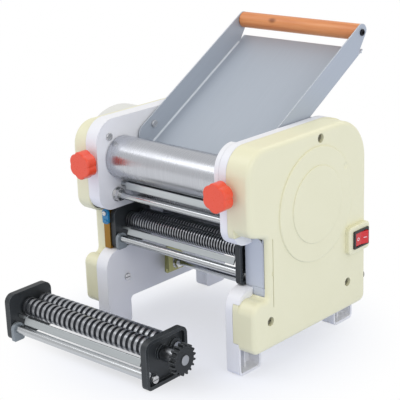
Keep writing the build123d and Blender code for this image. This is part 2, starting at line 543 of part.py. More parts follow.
nodes["front_roller"] = sheeting_roller(FRONT_AXIS, -GEAR_LEFT[1] - 1.5, PANEL_OUTER)
nodes["front_roller_gear"] = gear(ROLLER_TEETH, ROLLER_MODULE, THIN_TOOTH, -GEAR_LEFT[1], -GEAR_LEFT[0],
                                  FRONT_AXIS, tooth_front, JOURNAL_R)
nodes["rear_roller"] = sheeting_roller(REAR_AXIS, -GEAR_LEFT[1] - 1.5, GEAR_OUT[1] + 1.5)
drive_tooth = 0
feed_tooth = heading(REAR_AXIS, IDLER_AXIS)
large_gear = gear(DRIVE_TEETH, ROLLER_MODULE, CUTTER_TOOTH, *GEAR_IN, REAR_AXIS, drive_tooth, JOURNAL_R)
for k in range(6):
    angle = math.radians(60 * k + 30)
    at = (REAR_AXIS[0] + 19.5 * math.cos(angle), REAR_AXIS[1] + 19.5 * math.sin(angle))
    large_gear -= rod(GEAR_IN[0] - 1, GEAR_IN[1] + 1, at, 5)
nodes["rear_roller_gears"] = group([
    gear(ROLLER_TEETH, ROLLER_MODULE, THIN_TOOTH, -GEAR_LEFT[1], -GEAR_LEFT[0], REAR_AXIS,
         tooth_rear, JOURNAL_R),
    large_gear,
    gear(FEED_TEETH, CUTTER_MODULE, CUTTER_TOOTH, *GEAR_OUT, REAR_AXIS, feed_tooth, JOURNAL_R)])

bush = rod(PANEL_INNER + GAP, BOSS_END, REAR_AXIS, BUSH_R)
bush -= rod(PANEL_INNER, BOSS_END + 1, REAR_AXIS, JOURNAL_R + RUNNING)
nodes["rear_roller_bushes"] = group([bush, flip(bush)])

bearing = block(PANEL_WEB + 0.5, PANEL_OUTER - 0.8, FRONT_AXIS[0] - 15, FRONT_AXIS[0] + 15,
                FRONT_AXIS[1] - 15, FRONT_AXIS[1] + 15)
bearing = fillet(bearing.edges().filter_by(Axis.X), 2)
bearing -= rod(PANEL_WEB, PANEL_OUTER, FRONT_AXIS, JOURNAL_R + RUNNING)
bearing -= Pos(KNOB_X, 21.5, FRONT_AXIS[1]) * Rot(90, 0, 0) * Cylinder(SCREW_R + RUNNING, 7)
nodes["bearing_blocks"] = group([bearing, flip(bearing)])

knob_face = Circle(KNOB_R - LOBE_R)
for k in range(6):
    knob_face += Rot(0, 0, 60 * k + 30) * (Pos(KNOB_R - LOBE_R, 0) * Circle(LOBE_R))
knob_face = fillet(knob_face.vertices(), 2.0)
knob = extrude(Plane.XZ.offset(-KNOB_FRONT - KNOB_DEPTH) * (Pos(KNOB_X, FRONT_AXIS[1]) * knob_face), KNOB_DEPTH)
knob = fillet(knob.faces().sort_by(Axis.Y)[0].edges(), 1.8)
knob += Pos(KNOB_X, -8.0, FRONT_AXIS[1]) * Rot(90, 0, 0) * Cylinder(8, 7)
knob -= Pos(KNOB_X, -10, FRONT_AXIS[1]) * Rot(90, 0, 0) * Cylinder(SCREW_R, 16)
adjuster = Pos(KNOB_X, 2.25, FRONT_AXIS[1]) * Rot(90, 0, 0) * Cylinder(SCREW_R, 39.5)
adjuster = chamfer(adjuster.edges().filter_by(GeomType.CIRCLE), 0.6)
for k in range(9):
    ring = Pos(KNOB_X, 2 + 2 * k, FRONT_AXIS[1]) * Rot(90, 0, 0)
    adjuster -= ring * (Cylinder(SCREW_R + 1, 0.8) - Cylinder(SCREW_R - 0.5, 0.8))
nodes["right_knob"] = knob
nodes["left_knob"] = flip(knob)
nodes["right_adjust_screw"] = adjuster
nodes["left_adjust_screw"] = flip(adjuster)

# ---------------------------------------------------------------- motor and gear train
motor = rod(-BULGE_END + 6, -PANEL_OUTER - 10, DRIVE_AXIS, MOTOR_R)
motor = fillet(motor.edges().filter_by(GeomType.CIRCLE), 3)
motor -= rod(-BULGE_END, -BULGE_END + 8, DRIVE_AXIS, 34)
motor += rod(-BULGE_END + 4, -COVER_OUTER - 6, DRIVE_AXIS, 9)
for k in range(12):
    fin = Pos(-COVER_OUTER - 16, DRIVE_AXIS[0], DRIVE_AXIS[1]) * Rot(30 * k, 0, 0) * Pos(0, 0, MOTOR_R + 0.6)
    motor += fin * Box(40, 2, 3)
nodes["motor_body"] = motor
nodes["motor_spacers"] = group(rod(-PANEL_OUTER - 9.8, -MOTOR_SEAT - 0.2, at, 5.5) for at in motor_post_at)
nodes["drive_shaft"] = rod(-PANEL_OUTER - 9.7, GEAR_IN[1] + 1, DRIVE_AXIS, SHAFT_R)
pinion_heading = heading(REAR_AXIS, DRIVE_AXIS)
pinion_tooth = meshing_tooth(DRIVE_TEETH, drive_tooth, PINION_TEETH, pinion_heading)
nodes["motor_pinion"] = gear(PINION_TEETH, ROLLER_MODULE, CUTTER_TOOTH, *GEAR_IN, DRIVE_AXIS,
                             pinion_tooth, SHAFT_R)

bracket_face = rounded([(60, 118, 5), (88, 108, 5), (96, 118, 5), (96, 142, 5), (60, 142, 5)])
idler_bracket = slab(PANEL_OUTER + 0.2, PANEL_OUTER + 1.8, bracket_face)
idler_bracket += rod(PANEL_OUTER + 0.2, GEAR_OUT[1] + 1.5, IDLER_AXIS, 4)
nodes["idler_bracket"] = idler_bracket
idler_tooth = meshing_tooth(FEED_TEETH, feed_tooth, CUTTER_TEETH, feed_tooth)
idler = gear(CUTTER_TEETH, CUTTER_MODULE, CUTTER_TOOTH, *GEAR_OUT, IDLER_AXIS, idler_tooth, 4 + RUNNING)
idler += rod(GEAR_IN[0] + 0.2, GEAR_OUT[0] + 0.5, IDLER_AXIS, 7) - rod(
    GEAR_IN[0] - 1, GEAR_OUT[0] + 1, IDLER_AXIS, 4 + RUNNING)
nodes["idler_gear"] = idler

gland = Pos(GLAND_AT[0], COVER_BACK - 0.5, GLAND_AT[1]) * Rot(90, 0, 0) * Cylinder(6, 9)
gland += Pos(GLAND_AT[0], COVER_BACK + 2.5, GLAND_AT[1]) * Rot(90, 0, 0) * Cylinder(8, 4.6)
gland = chamfer(gland.edges().filter_by(GeomType.CIRCLE).sort_by(Axis.Y)[-1], 1.2)
gland -= Pos(GLAND_AT[0], COVER_BACK, GLAND_AT[1]) * Rot(90, 0, 0) * Cylinder(3.4, 30)
nodes["cord_gland"] = gland

# ---------------------------------------------------------------- switch
frame_face = Pos(*SWITCH_AT) * RectangleRounded(29, 21.5, 1.5)
hole_face = Pos(*SWITCH_AT) * Rectangle(23.4, 16.4)
switch_frame = fillet(slab(SWITCH_FACE, SWITCH_FACE + 2.2, frame_face).faces().sort_by(Axis.X)[-1].edges(), 0.8)
switch_frame += slab(SWITCH_FACE - 16, SWITCH_FACE + 0.5, Pos(*SWITCH_AT) * Rectangle(25.8, 18.4))
switch_frame -= slab(SWITCH_FACE - 10, SWITCH_FACE + 3, hole_face)
nodes["switch_frame"] = switch_frame

PIVOT_X = SWITCH_FACE - 2.0
rocker_face = rounded([(SWITCH_AT[0] - 10.6, -4, 1), (SWITCH_AT[0] + 10.6, -4, 1),
                       (SWITCH_AT[0] + 11.1, 5.2, 1), (SWITCH_AT[0], 3.4, 0), (SWITCH_AT[0] - 11.1, 5.2, 1)])
rocker = extrude(Plane(origin=(PIVOT_X, 0, SWITCH_AT[1] - 7.6), x_dir=(0, 1, 0), z_dir=(0, 0, 1))
                 * mirror(rocker_face, Plane.XZ), 15.2)
rocker = rocker.moved(Location((0, 0, 0)))
ROCKER_REST = 9.0
turn = Pos(PIVOT_X, SWITCH_AT[0], 0) * Rot(0, 0, -ROCKER_REST) * Pos(-PIVOT_X, -SWITCH_AT[0], 0)
nodes["switch_rocker"] = turn * rocker

# ---------------------------------------------------------------- tray
tilt = Pos(0, *TRAY_ROOT) * Rot(TRAY_SLOPE, 0, 0)
flange_outline = rounded([
    (-19, -TRAY_SHEET, 0), (184, -TRAY_SHEET, 0), (215.4, 14, 6), (215.4, TRAY_WALL, 9.5),
    (-19, TRAY_WALL, 12)])
tray = block(-TRAY_OUTER, TRAY_OUTER, -24, TRAY_REAR, -TRAY_SHEET, 0)
for side in (-1, 1):
    flange = slab(side * TRAY_OUTER, side * (TRAY_OUTER - TRAY_SHEET), flange_outline)
    flange -= rod(-PANEL_INNER, PANEL_INNER, HANDLE_AT, 3)
    tray += flange - rod(-PANEL_INNER, PANEL_INNER, TRAY_PIVOT, 3)
# folded-down lip at the rear
tray += block(-TRAY_OUTER + 3, TRAY_OUTER - 3, TRAY_REAR - TRAY_SHEET, TRAY_REAR, -6, 0)
nodes["tray"] = tilt * tray

HANDLE_HALF = TRAY_OUTER - TRAY_SHEET - 0.2
handle = rod(-HANDLE_HALF, HANDLE_HALF, HANDLE_AT, HANDLE_R)
handle = fillet(handle.edges().filter_by(GeomType.CIRCLE), 1.2)
for side in (-1, 1):
    handle -= rod(side * (HANDLE_HALF - 18), side * (HANDLE_HALF + 1), HANDLE_AT, 3)
nodes["tray_handle"] = tilt * handle
tray_screws = []
for side in (-1, 1):
    screw = screw_x(side * TRAY_OUTER, side * (HANDLE_HALF - 16), HANDLE_AT, 4.0, 3, 1.8, slot=False)
    screw -= slab(side * (TRAY_OUTER + 0.4), side * (TRAY_OUTER + 4), Pos(*HANDLE_AT) * RegularPolygon(2.2, 6))
    pivot = screw_x(side * (TRAY_OUTER - TRAY_SHEET), side * (PANEL_INNER + 7), TRAY_PIVOT, 4.6, 3, 2.6)
    tray_screws += [tilt * screw, tilt * pivot]
nodes["tray_screws"] = group(tray_screws)


# ---------------------------------------------------------------- cutters
def ring_roller(at, pitch, ring_width, first, last):
    """Core with cutting rings, turned from one profile."""
    points = [(first - 1.2, 0), (first - 1.2, RING_CORE)]
    x = first
    while x + ring_width <= last:
        points += [(x, RING_CORE), (x, RING_R), (x + ring_width, RING_R), (x + ring_width, RING_CORE)]
        x += pitch
    points += [(x - pitch + ring_width + 1.2, RING_CORE), (x - pitch + ring_width + 1.2, 0)]
    profile = make_face(Polyline(*points, close=True))
    turned = revolve(Plane.XZ * profile, Axis.X, 360)
    return Pos(0, at[0], at[1]) * turned


def cutter(prefix, pitch, place, size, gear_tooth):
    """All pieces of one cutter, from the lower front corner line of its plates."""
    front = CUTTER_AXIS
    rear = (CUTTER_AXIS[0] + CUTTER_SPREAD, CUTTER_AXIS[1])
    ring_width = pitch / 2 - 0.3
    rings_from, rings_to = -PLATE_IN + 2, PLATE_IN - 2
    coupling = (-PLATE_OUT + 0.3, -PLATE_OUT + 4.2)     # in the left plate's outer recess
    shaft_r = 5.0
    parts = {}

    outline = rounded([(0, 0, 6), (PLATE_DEPTH, 0, 6), (PLATE_DEPTH, PLATE_HEIGHT, 9),
                       (0, PLATE_HEIGHT, 9)])
    plate = slab(PLATE_IN, PLATE_OUT, outline)
    plate -= slab(PLATE_OUT - 4.5, PLATE_OUT + 1, offset(outline, -3.6))
    for at in (front, rear):
        plate -= rod(PLATE_IN - 1, PLATE_OUT + 1, at, shaft_r + RUNNING)
    screw_at = [(47.5, 12.0), (13.0, 8.3)]
    for at in screw_at:
        plate += rod(PLATE_IN + 1, PLATE_OUT - 3, at, 5.5)
        plate -= rod(PLATE_IN - 1, PLATE_OUT, at, 2.0)
    plate -= rod(PLATE_IN - 1, PLATE_OUT - 3, LATCH_AXIS, LATCH_R + RUNNING)
    parts["left_plate"] = flip(plate)
    # bosses round both shafts, on the right plate only
    for at in (front, rear):
        plate += rod(PLATE_IN + 1, PLATE_OUT - 2, at, 8.2) - rod(PLATE_IN, PLATE_OUT, at, shaft_r + RUNNING)
    parts["right_plate"] = plate

    front_body = ring_roller(front, pitch, ring_width, rings_from, rings_to)
    front_body += rod(-PLATE_OUT, GEAR_OUT[1] + 0.8, front, shaft_r)
    front_body += rod(PLATE_OUT + 0.2, GEAR_OUT[0], front, 7.6)
    parts["front_roller"] = front_body
    rear_body = ring_roller(rear, pitch, ring_width, rings_from + pitch / 2, rings_to - pitch / 2)
    rear_body += rod(-PLATE_OUT, PLATE_OUT, rear, shaft_r)
    parts["rear_roller"] = rear_body
    parts["front_gears"] = group([
        gear(CUTTER_TEETH, CUTTER_MODULE, CUTTER_TOOTH, *GEAR_OUT, front, gear_tooth, shaft_r),
        gear(18, CUTTER_SPREAD / 18, CUTTER_TOOTH, *coupling, front, 0, shaft_r)])
    parts["rear_gear"] = gear(18, CUTTER_SPREAD / 18, CUTTER_TOOTH, *coupling, rear,
                              meshing_tooth(18, 0, 18, 0), shaft_r)

    # scraper bars in front of the front rings and behind the rear rings
    near = front[0] - RING_R
    far = rear[0] + RING_R
    front_face = rounded([(near - 7, 18, 0.8), (near - 5, 18, 0.8), (near - 1.8, 25.4, 0.6),
                          (near - 3.8, 25.4, 0.6)])
    rear_face = rounded([(far + 2.1, 19, 0.4), (far + 4, 19, 0.4), (far + 1.4, 26, 0.4), (far - 0.5, 26, 0.4)])
    bars = []
    for face, tab in ((front_face, (near - 4, near - 1.5)), (rear_face, (far - 0.1, far + 2.9))):
        bar = slab(-SHEET_HALF, SHEET_HALF, face)
        for side in (-1, 1):
            bar += block(side * (SHEET_HALF - 1), side * (PLATE_IN - GAP), tab[0], tab[1], 23.5, 26.3)
        bars.append(bar)
    parts["scrapers"] = group(bars)

    latch_end = PLATE_OUT - 4.2
    latch = rod(-latch_end, latch_end, LATCH_AXIS, LATCH_R)
    for side in (-1, 1):
        latch -= rod(side * (latch_end - 3), side * (latch_end + 1), LATCH_AXIS, 1.2)
    parts["latch_rod"] = latch
    lever = rounded([(LATCH_AXIS[0] - 7, 0.2, 2), (LATCH_AXIS[0] + 7, 0.2, 2),
                     (LATCH_AXIS[0] + 7, LATCH_AXIS[1] + 7, 6.9), (LATCH_AXIS[0] - 7, LATCH_AXIS[1] + 7, 6.9)])
    lever = slab(-PLATE_IN + 0.8, -PLATE_IN + 4.8, lever)
    parts["latch_lever"] = lever - rod(-PLATE_IN, -PLATE_IN + 12, LATCH_AXIS, LATCH_R)

    plate_screws = []
    for at in screw_at:
        head = screw_x(PLATE_OUT - 3, PLATE_IN + 0.2, at, 4.2, 2.0, 2.4)
        plate_screws += [head, flip(head)]
    parts["screws"] = group(plate_screws)
    for name, shape in parts.items():
        nodes[prefix + "_cutter_" + name] = place * (shape if size == 1 else scale(shape, size))


cutter_tooth = meshing_tooth(CUTTER_TEETH, idler_tooth, CUTTER_TEETH, 180)
cutter("fine", FINE_PITCH, Pos(0, CUTTER_FRONT, CUTTER_FLOOR), 1, cutter_tooth)
spare_place = Pos(SPARE_CENTRE[0], SPARE_CENTRE[1], 0) * Rot(0, 0, SPARE_TURN)
spare_place *= Pos(0, -PLATE_DEPTH * SPARE_SIZE / 2, 0)
cutter("wide", WIDE_PITCH, spare_place, SPARE_SIZE, 90)

# ---------------------------------------------------------------- centre the set and write it
low = [1e9] * 3
high = [-1e9] * 3
for shape in nodes.values():
    size = shape.bounding_box()
    for k, (a, b) in enumerate(zip(size.min, size.max)):
        low[k] = min(low[k], a)
        high[k] = max(high[k], b)
shift = (-(low[0] + high[0]) / 2, -(low[1] + high[1]) / 2, -low[2])
print("shift", [round(v, 4) for v in shift])
print("rear roller axis", REAR_AXIS, "drive axis", DRIVE_AXIS, "idler axis", IDLER_AXIS, "tray pivot", pivot_at)
for name, shape in nodes.items():
    moved = Pos(*shift) * shape
    export_step(moved, "parts/" + name + ".step")
print(len(nodes), "nodes")
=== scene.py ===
# %% [markdown]
# # An electric pasta maker
# The machine has two white moulded side panels with cream covers, a pair of steel rollers that
# flatten the dough, a sheet metal tray that feeds them, and a cutter below that turns the sheet
# into noodles. A second, wider cutter lies in front of it. The exact shapes come from the packed
# model, so this lesson is mostly about light and finishes: what each surface is made of, how it
# was made, and how to say that with nodes.

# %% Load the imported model
import math

import bmesh
import bpy
from mathutils import Matrix, Vector


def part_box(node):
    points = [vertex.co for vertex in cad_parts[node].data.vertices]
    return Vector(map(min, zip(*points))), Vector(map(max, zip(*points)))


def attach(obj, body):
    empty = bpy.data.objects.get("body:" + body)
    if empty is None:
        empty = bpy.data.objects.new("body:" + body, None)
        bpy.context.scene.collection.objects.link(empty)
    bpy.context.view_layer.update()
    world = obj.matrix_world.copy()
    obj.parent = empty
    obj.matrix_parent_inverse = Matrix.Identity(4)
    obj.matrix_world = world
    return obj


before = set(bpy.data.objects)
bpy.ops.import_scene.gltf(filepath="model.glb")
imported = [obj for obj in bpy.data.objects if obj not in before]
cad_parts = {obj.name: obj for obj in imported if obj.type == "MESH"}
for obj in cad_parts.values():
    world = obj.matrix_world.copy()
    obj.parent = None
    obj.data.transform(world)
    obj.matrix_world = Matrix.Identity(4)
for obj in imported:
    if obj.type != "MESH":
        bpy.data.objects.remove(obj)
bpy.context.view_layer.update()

# The right panel's inner face stands 93 mm from the machine's middle plane, and its front edge
# 4 mm before the machine's zero line. Places below are measured from that zero.
HALF_CLEAR_WIDTH, FRONT_LIP = 0.093, 0.004
panel_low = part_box("right_inner_panel")[0]
ZERO = Vector((panel_low[0] - HALF_CLEAR_WIDTH, panel_low[1] + FRONT_LIP, 0))
print("machine zero", [round(v, 4) for v in ZERO])

# %% [markdown]
# ## Colours
# Paint and plastic colours are easiest to write as the sRGB hex values of a colour chart. Blender
# calculates with linear light, so one function turns a hex value into linear numbers.


# %% Hex colours to linear light
def linear(hex_colour, alpha=1.0):
    channels = []
    for start in (1, 3, 5):
        value = int(hex_colour[start:start + 2], 16) / 255
        channels.append(value / 12.92 if value <= 0.04045 else ((value + 0.055) / 1.055) ** 2.4)
    return (*channels, alpha)


print("cream in linear light", [round(v, 3) for v in linear("#EBE8C8")])

# %% [markdown]
# ## Building node trees
# Every finish below is a small tree of nodes. One function adds a node, sets its properties and
# socket values, and links its inputs, so that each recipe reads from top to bottom. A second one
# starts a material with its main shader and the coordinates that the patterns use. The
# coordinates are the piece's own, in metres, so a pattern moves with the piece when a joint turns.

# %% Node helpers
MM = 0.001


def add(tree, kind, properties=None, values=None, links=None):
    node = tree.nodes.new(kind)
    for name, value in (properties or {}).items():
        setattr(node, name, value)
    for socket, value in (values or {}).items():
        node.inputs[socket].default_value = value
    for socket, source in (links or {}).items():
        tree.links.new(source, node.inputs[socket])
    return node


def start_material(name, colour, roughness, metallic=0.0, **values):
    material = bpy.data.materials.new(name)
    material.use_nodes = True
    tree = material.node_tree
    tree.nodes.clear()
    shader = add(tree, "ShaderNodeBsdfPrincipled",
                 values={"Base Color": linear(colour), "Roughness": roughness, "Metallic": metallic})
    for socket, value in values.items():
        shader.inputs[socket.replace("_", " ")].default_value = value
    add(tree, "ShaderNodeOutputMaterial", links={"Surface": shader.outputs[0]})
    place = add(tree, "ShaderNodeTexCoord").outputs["Object"]
    return material, tree, shader, place


def clad(material, *nodes):
    for name in nodes:
        mesh_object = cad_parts[name]
        for slot in mesh_object.material_slots:
            slot.material = material
    print(material.name, "on", ", ".join(nodes))


print("one millimetre is", MM, "of the scene's units")

# %% [markdown]
# ## Moulded plastic
# Panels, covers and knobs are injection moulded ABS. The mould's surface leaves a very fine
# texture and the thick walls sink slightly, so a reflection on them is soft and a little wavy.
# Two noises make that: one of about a millimetre for the skin and one of about 40 mm for the
# waviness. The larger one also shifts the colour by a percent or two. A bevel node rounds the
# light on edges that the model keeps sharp, as every moulded edge has a small radius.


# %% Recipe for moulded ABS
SKIN_SIZE, WAVE_SIZE = 1.2 * MM, 40 * MM
ABS_IOR = 1.53


def moulded_abs(name, colour, shade, roughness, skin=0.04, edge=0.6, coat=0.0):
    material, tree, shader, place = start_material(name, colour, roughness, IOR=ABS_IOR,
                                                   Coat_Weight=coat, Coat_Roughness=0.12)
    waves = add(tree, "ShaderNodeTexNoise", values={"Scale": 1 / WAVE_SIZE, "Detail": 2.0},
                links={"Vector": place})
    grain = add(tree, "ShaderNodeTexNoise", values={"Scale": 1 / SKIN_SIZE, "Detail": 3.0},
                links={"Vector": place})
    tint = add(tree, "ShaderNodeMix", {"data_type": "RGBA"},
               {"A": linear(colour), "B": linear(shade)}, {"Factor": waves.outputs["Fac"]})
    dull = add(tree, "ShaderNodeMapRange",
               values={"From Min": 0.3, "From Max": 0.7, "To Min": roughness - 0.04,
                       "To Max": roughness + 0.06},
               links={"Value": grain.outputs["Fac"]})
    rounding = add(tree, "ShaderNodeBevel", {"samples": 4}, {"Radius": edge * MM})
    ripple = add(tree, "ShaderNodeBump", values={"Strength": 0.25, "Distance": 0.25 * MM},
                 links={"Height": waves.outputs["Fac"], "Normal": rounding.outputs[0]})
    texture = add(tree, "ShaderNodeBump", values={"Strength": skin * 4, "Distance": 0.05 * MM},
                  links={"Height": grain.outputs["Fac"], "Normal": ripple.outputs[0]})
    tree.links.new(tint.outputs["Result"], shader.inputs["Base Color"])
    tree.links.new(dull.outputs[0], shader.inputs["Roughness"])
    tree.links.new(texture.outputs[0], shader.inputs["Normal"])
    return material


cream_abs = moulded_abs("cream_abs", "#EBE8C8", "#E7E4C2", 0.36, skin=0.02)
white_abs = moulded_abs("white_abs", "#F0F0F3", "#EAEBEF", 0.40, skin=0.02)
bulge_abs = moulded_abs("off_white_abs", "#E2E2DC", "#DDDDD8", 0.38, skin=0.02)
red_abs = moulded_abs("red_abs", "#F0502F", "#EC4828", 0.30, skin=0.004, coat=0.3)
blue_abs = moulded_abs("blue_abs", "#1C86B8", "#1779AA", 0.28, skin=0.01, coat=0.2)
black_abs = moulded_abs("black_abs", "#141416", "#1B1B1E", 0.34, skin=0.05)
clad(cream_abs, "left_outer_cover", "right_outer_cover")
clad(white_abs, "left_inner_panel", "right_inner_panel", "cheek_plate", "rear_cover")
clad(bulge_abs, "motor_cover")
clad(red_abs, "left_knob", "right_knob")
clad(blue_abs, "cutter_clip")
clad(black_abs, "switch_frame")

# %% [markdown]
# ## Walls behind the joints
# The covers are a little smaller than the panels, so a narrow slit is left along the top and the
# back of each joint. A thin wall behind the slit, as such mouldings often have, closes the view into
# the body. It follows the panel's outline, a few millimetres inside it, so it is built from the
# outline's points: up the front, round the corner of 28 mm, along the top, round the corner of
# 50 mm and down the back. Such a wall is a section carried along a path, so one helper takes rows
# of points and puts a skin over them.


# %% Rows of points to a bar
def bar_through(rows, name, material, closed=False):
    """A piece whose skin runs through the rows, each row one section. Closed, it is a ring."""
    build = bmesh.new()
    sections = [[build.verts.new(point) for point in row] for row in rows]
    following = sections[1:] + sections[:1] if closed else sections[1:]
    for before, after in zip(sections, following):
        for k in range(len(before)):
            n = (k + 1) % len(before)
            build.faces.new((before[k], before[n], after[n], after[k]))
    if not closed:
        build.faces.new(sections[0])
        build.faces.new(sections[-1])
    bmesh.ops.recalc_face_normals(build, faces=build.faces)
    mesh = bpy.data.meshes.new(name)
    build.to_mesh(mesh)
    build.free()
    mesh.materials.append(material)
    piece = bpy.data.objects.new(name, mesh)
    bpy.context.scene.collection.objects.link(piece)
    print(name, "with", len(mesh.polygons), "faces")
    return piece


# %% [markdown]
# With that helper a wall needs only its path, with the outward direction at each point, and a
# narrow rectangle as its section. The arcs give both at once.


# %% Slit walls
def arc(centre_y, centre_z, radius, start, end, steps=12):
    """Points of an arc with their outward directions, all in the plane across X."""
    points = []
    for k in range(steps + 1):
        angle = math.radians(start + (end - start) * k / steps)
        out = Vector((0, math.cos(angle), math.sin(angle)))
        points.append((Vector((0, centre_y, centre_z)) + out * radius, out))
    return points


FRONT, TOP, BACK = -4.0, 258.0, 210.0
FRONT_CORNER, BACK_CORNER = 28, 50
FRONT_FOOT, BACK_FOOT = 190.0, 45.0                     # heights where the wall ends
OUTER_INSET, INNER_INSET, WALL_FROM, WALL_TO = 2.9, 9.0, 109.7, 110.8
rim_path = [(Vector((0, FRONT, FRONT_FOOT)), Vector((0, -1, 0)))]
rim_path += arc(FRONT + FRONT_CORNER, TOP - FRONT_CORNER, FRONT_CORNER, 180, 90)
rim_path += arc(BACK - BACK_CORNER, TOP - BACK_CORNER, BACK_CORNER, 90, 0)
rim_path += [(Vector((0, BACK, BACK_FOOT)), Vector((0, 1, 0)))]
wall_section = ((OUTER_INSET, WALL_FROM), (OUTER_INSET, WALL_TO), (INNER_INSET, WALL_TO),
                (INNER_INSET, WALL_FROM))
for side, name in ((-1, "left_slit_wall"), (1, "right_slit_wall")):
    rows = [[ZERO + (point - out * inset + Vector((side * x, 0, 0))) * MM for inset, x in wall_section]
            for point, out in rim_path]
    wall = bar_through(rows, name, white_abs)
    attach(wall, "machine")

# %% [markdown]
# ## The lit rocker
# The rocker of a mains switch is translucent red polycarbonate, because a lamp sits behind it. A
# little subsurface light and a clear coat give the deep, wet red.

# %% Red polycarbonate rocker
rocker_red, tree, shader, place = start_material("red_polycarbonate", "#DA1420", 0.30, IOR=1.58,
                                                 Coat_Weight=0.1, Coat_Roughness=0.1)
shader.inputs["Subsurface Weight"].default_value = 0.15
shader.inputs["Subsurface Radius"].default_value = (2 * MM, 0.4 * MM, 0.3 * MM)
specks = add(tree, "ShaderNodeTexNoise", values={"Scale": 1 / (3 * MM)}, links={"Vector": place})
depth = add(tree, "ShaderNodeMix", {"data_type": "RGBA"},
            {"A": linear("#DC1824"), "B": linear("#C80E1A")}, {"Factor": specks.outputs["Fac"]})
tree.links.new(depth.outputs["Result"], shader.inputs["Base Color"])
clad(rocker_red, "switch_rocker")

# %% [markdown]
# The rocker carries the two usual marks, a ring for off and a bar for on. They are printed, so
# they are thin plates of a tenth of a millimetre, one on each half of the rocker's bent face.
# Each half runs from the fold in the middle to its own end, which gives the plane to print on.


# %% White print
mark_white, tree, shader, place = start_material("white_print", "#F6E6E8", 0.45)
ink = add(tree, "ShaderNodeTexNoise", values={"Scale": 1 / (0.6 * MM)}, links={"Vector": place})
cover_share = add(tree, "ShaderNodeMix", {"data_type": "RGBA"},
                  {"A": linear("#FAF0F0"), "B": linear("#F0D8DA")}, {"Factor": ink.outputs["Fac"]})
tree.links.new(cover_share.outputs["Result"], shader.inputs["Base Color"])
print("ink ready:", mark_white.name)

# %% [markdown]
# The rocker's pivot line stands upright at the switch's middle height. Seen from above, its face is
# a flat V: a fold near the pivot line and two ends further out. At rest it is pressed in at the
# front by nine degrees. From those three points follow the middle and the direction of each half.


# %% Halves of the rocker's face
SWITCH = ZERO + Vector((138.0, 186.0, 115.0)) * MM      # the rocker's pivot line at mid height
REST = math.radians(9.0)                                # the rocker is pressed in at the front
FOLD_REACH = 3.4                                        # from the pivot line to the fold
END_REACH, HALF_LENGTH = 5.2, 11.1                      # from the pivot line to an end of the face
fold_point = Vector((FOLD_REACH * math.cos(REST), -FOLD_REACH * math.sin(REST), 0))


def half_of_rocker(side):
    """Middle, direction and outward normal of one half of the face; side is -1 front, 1 rear."""
    x, y = END_REACH, HALF_LENGTH * side
    end = Vector((x * math.cos(REST) + y * math.sin(REST), y * math.cos(REST) - x * math.sin(REST), 0))
    along = (end - fold_point).normalized()
    outward = Vector((0, 0, 1)).cross(along) * -side
    if outward.x < 0:
        outward = -outward
    return SWITCH + (fold_point + end) * 0.5 * MM, along, outward


print("front half's middle", [round(v, 4) for v in half_of_rocker(-1)[0]])

# %% [markdown]
# A mark is a bar through two copies of its outline, one a little under the face and one a little
# above it. The ring has an outer and an inner outline, so its bar goes out along the first, back
# along the second, and closes on itself.

# %% Marks on the rocker
UNDER_FACE, OVER_FACE = -0.05, 0.1
OUTER_CIRCLE, INNER_CIRCLE = 2.1, 1.3
BAR_HALF_LENGTH, BAR_HALF_WIDTH = 2.2, 0.4


def circle(radius, steps=32):
    return [(radius * math.cos(2 * math.pi * k / steps), radius * math.sin(2 * math.pi * k / steps))
            for k in range(steps)]


def printed_mark(name, outlines, half, body):
    """A thin plate. Each outline is a loop of points (along the half, up) in millimetres."""
    middle, along, outward = half
    rows = []
    for outline, lifts in zip(outlines, ((UNDER_FACE, OVER_FACE), (OVER_FACE, UNDER_FACE))):
        for lift in lifts:
            rows.append([middle + (along * a + Vector((0, 0, b)) + outward * lift) * MM
                         for a, b in outline])
    mark = bar_through(rows, name, mark_white, closed=len(outlines) > 1)
    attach(mark, body)


bar_outline = [(-BAR_HALF_LENGTH, -BAR_HALF_WIDTH), (BAR_HALF_LENGTH, -BAR_HALF_WIDTH),
               (BAR_HALF_LENGTH, BAR_HALF_WIDTH), (-BAR_HALF_LENGTH, BAR_HALF_WIDTH)]
printed_mark("rocker_off_ring", [circle(OUTER_CIRCLE), circle(INNER_CIRCLE)], half_of_rocker(-1),
             "switch_rocker")
printed_mark("rocker_on_bar", [bar_outline], half_of_rocker(1), "switch_rocker")

# %% [markdown]
# ## Turned and ground steel
# A roller is ground while it turns, so its scratches run round it, in planes across its length.
# Noise squeezed hard along the roller and stretched round it draws them: the coordinates are
# multiplied by a large number along X and a small one across. The scratches are finer than a
# picture can show, so they are drawn about half a millimetre wide.


# %% Recipe for steel that was turned, drawn or brushed
STAIN_SIZE = 60 * MM


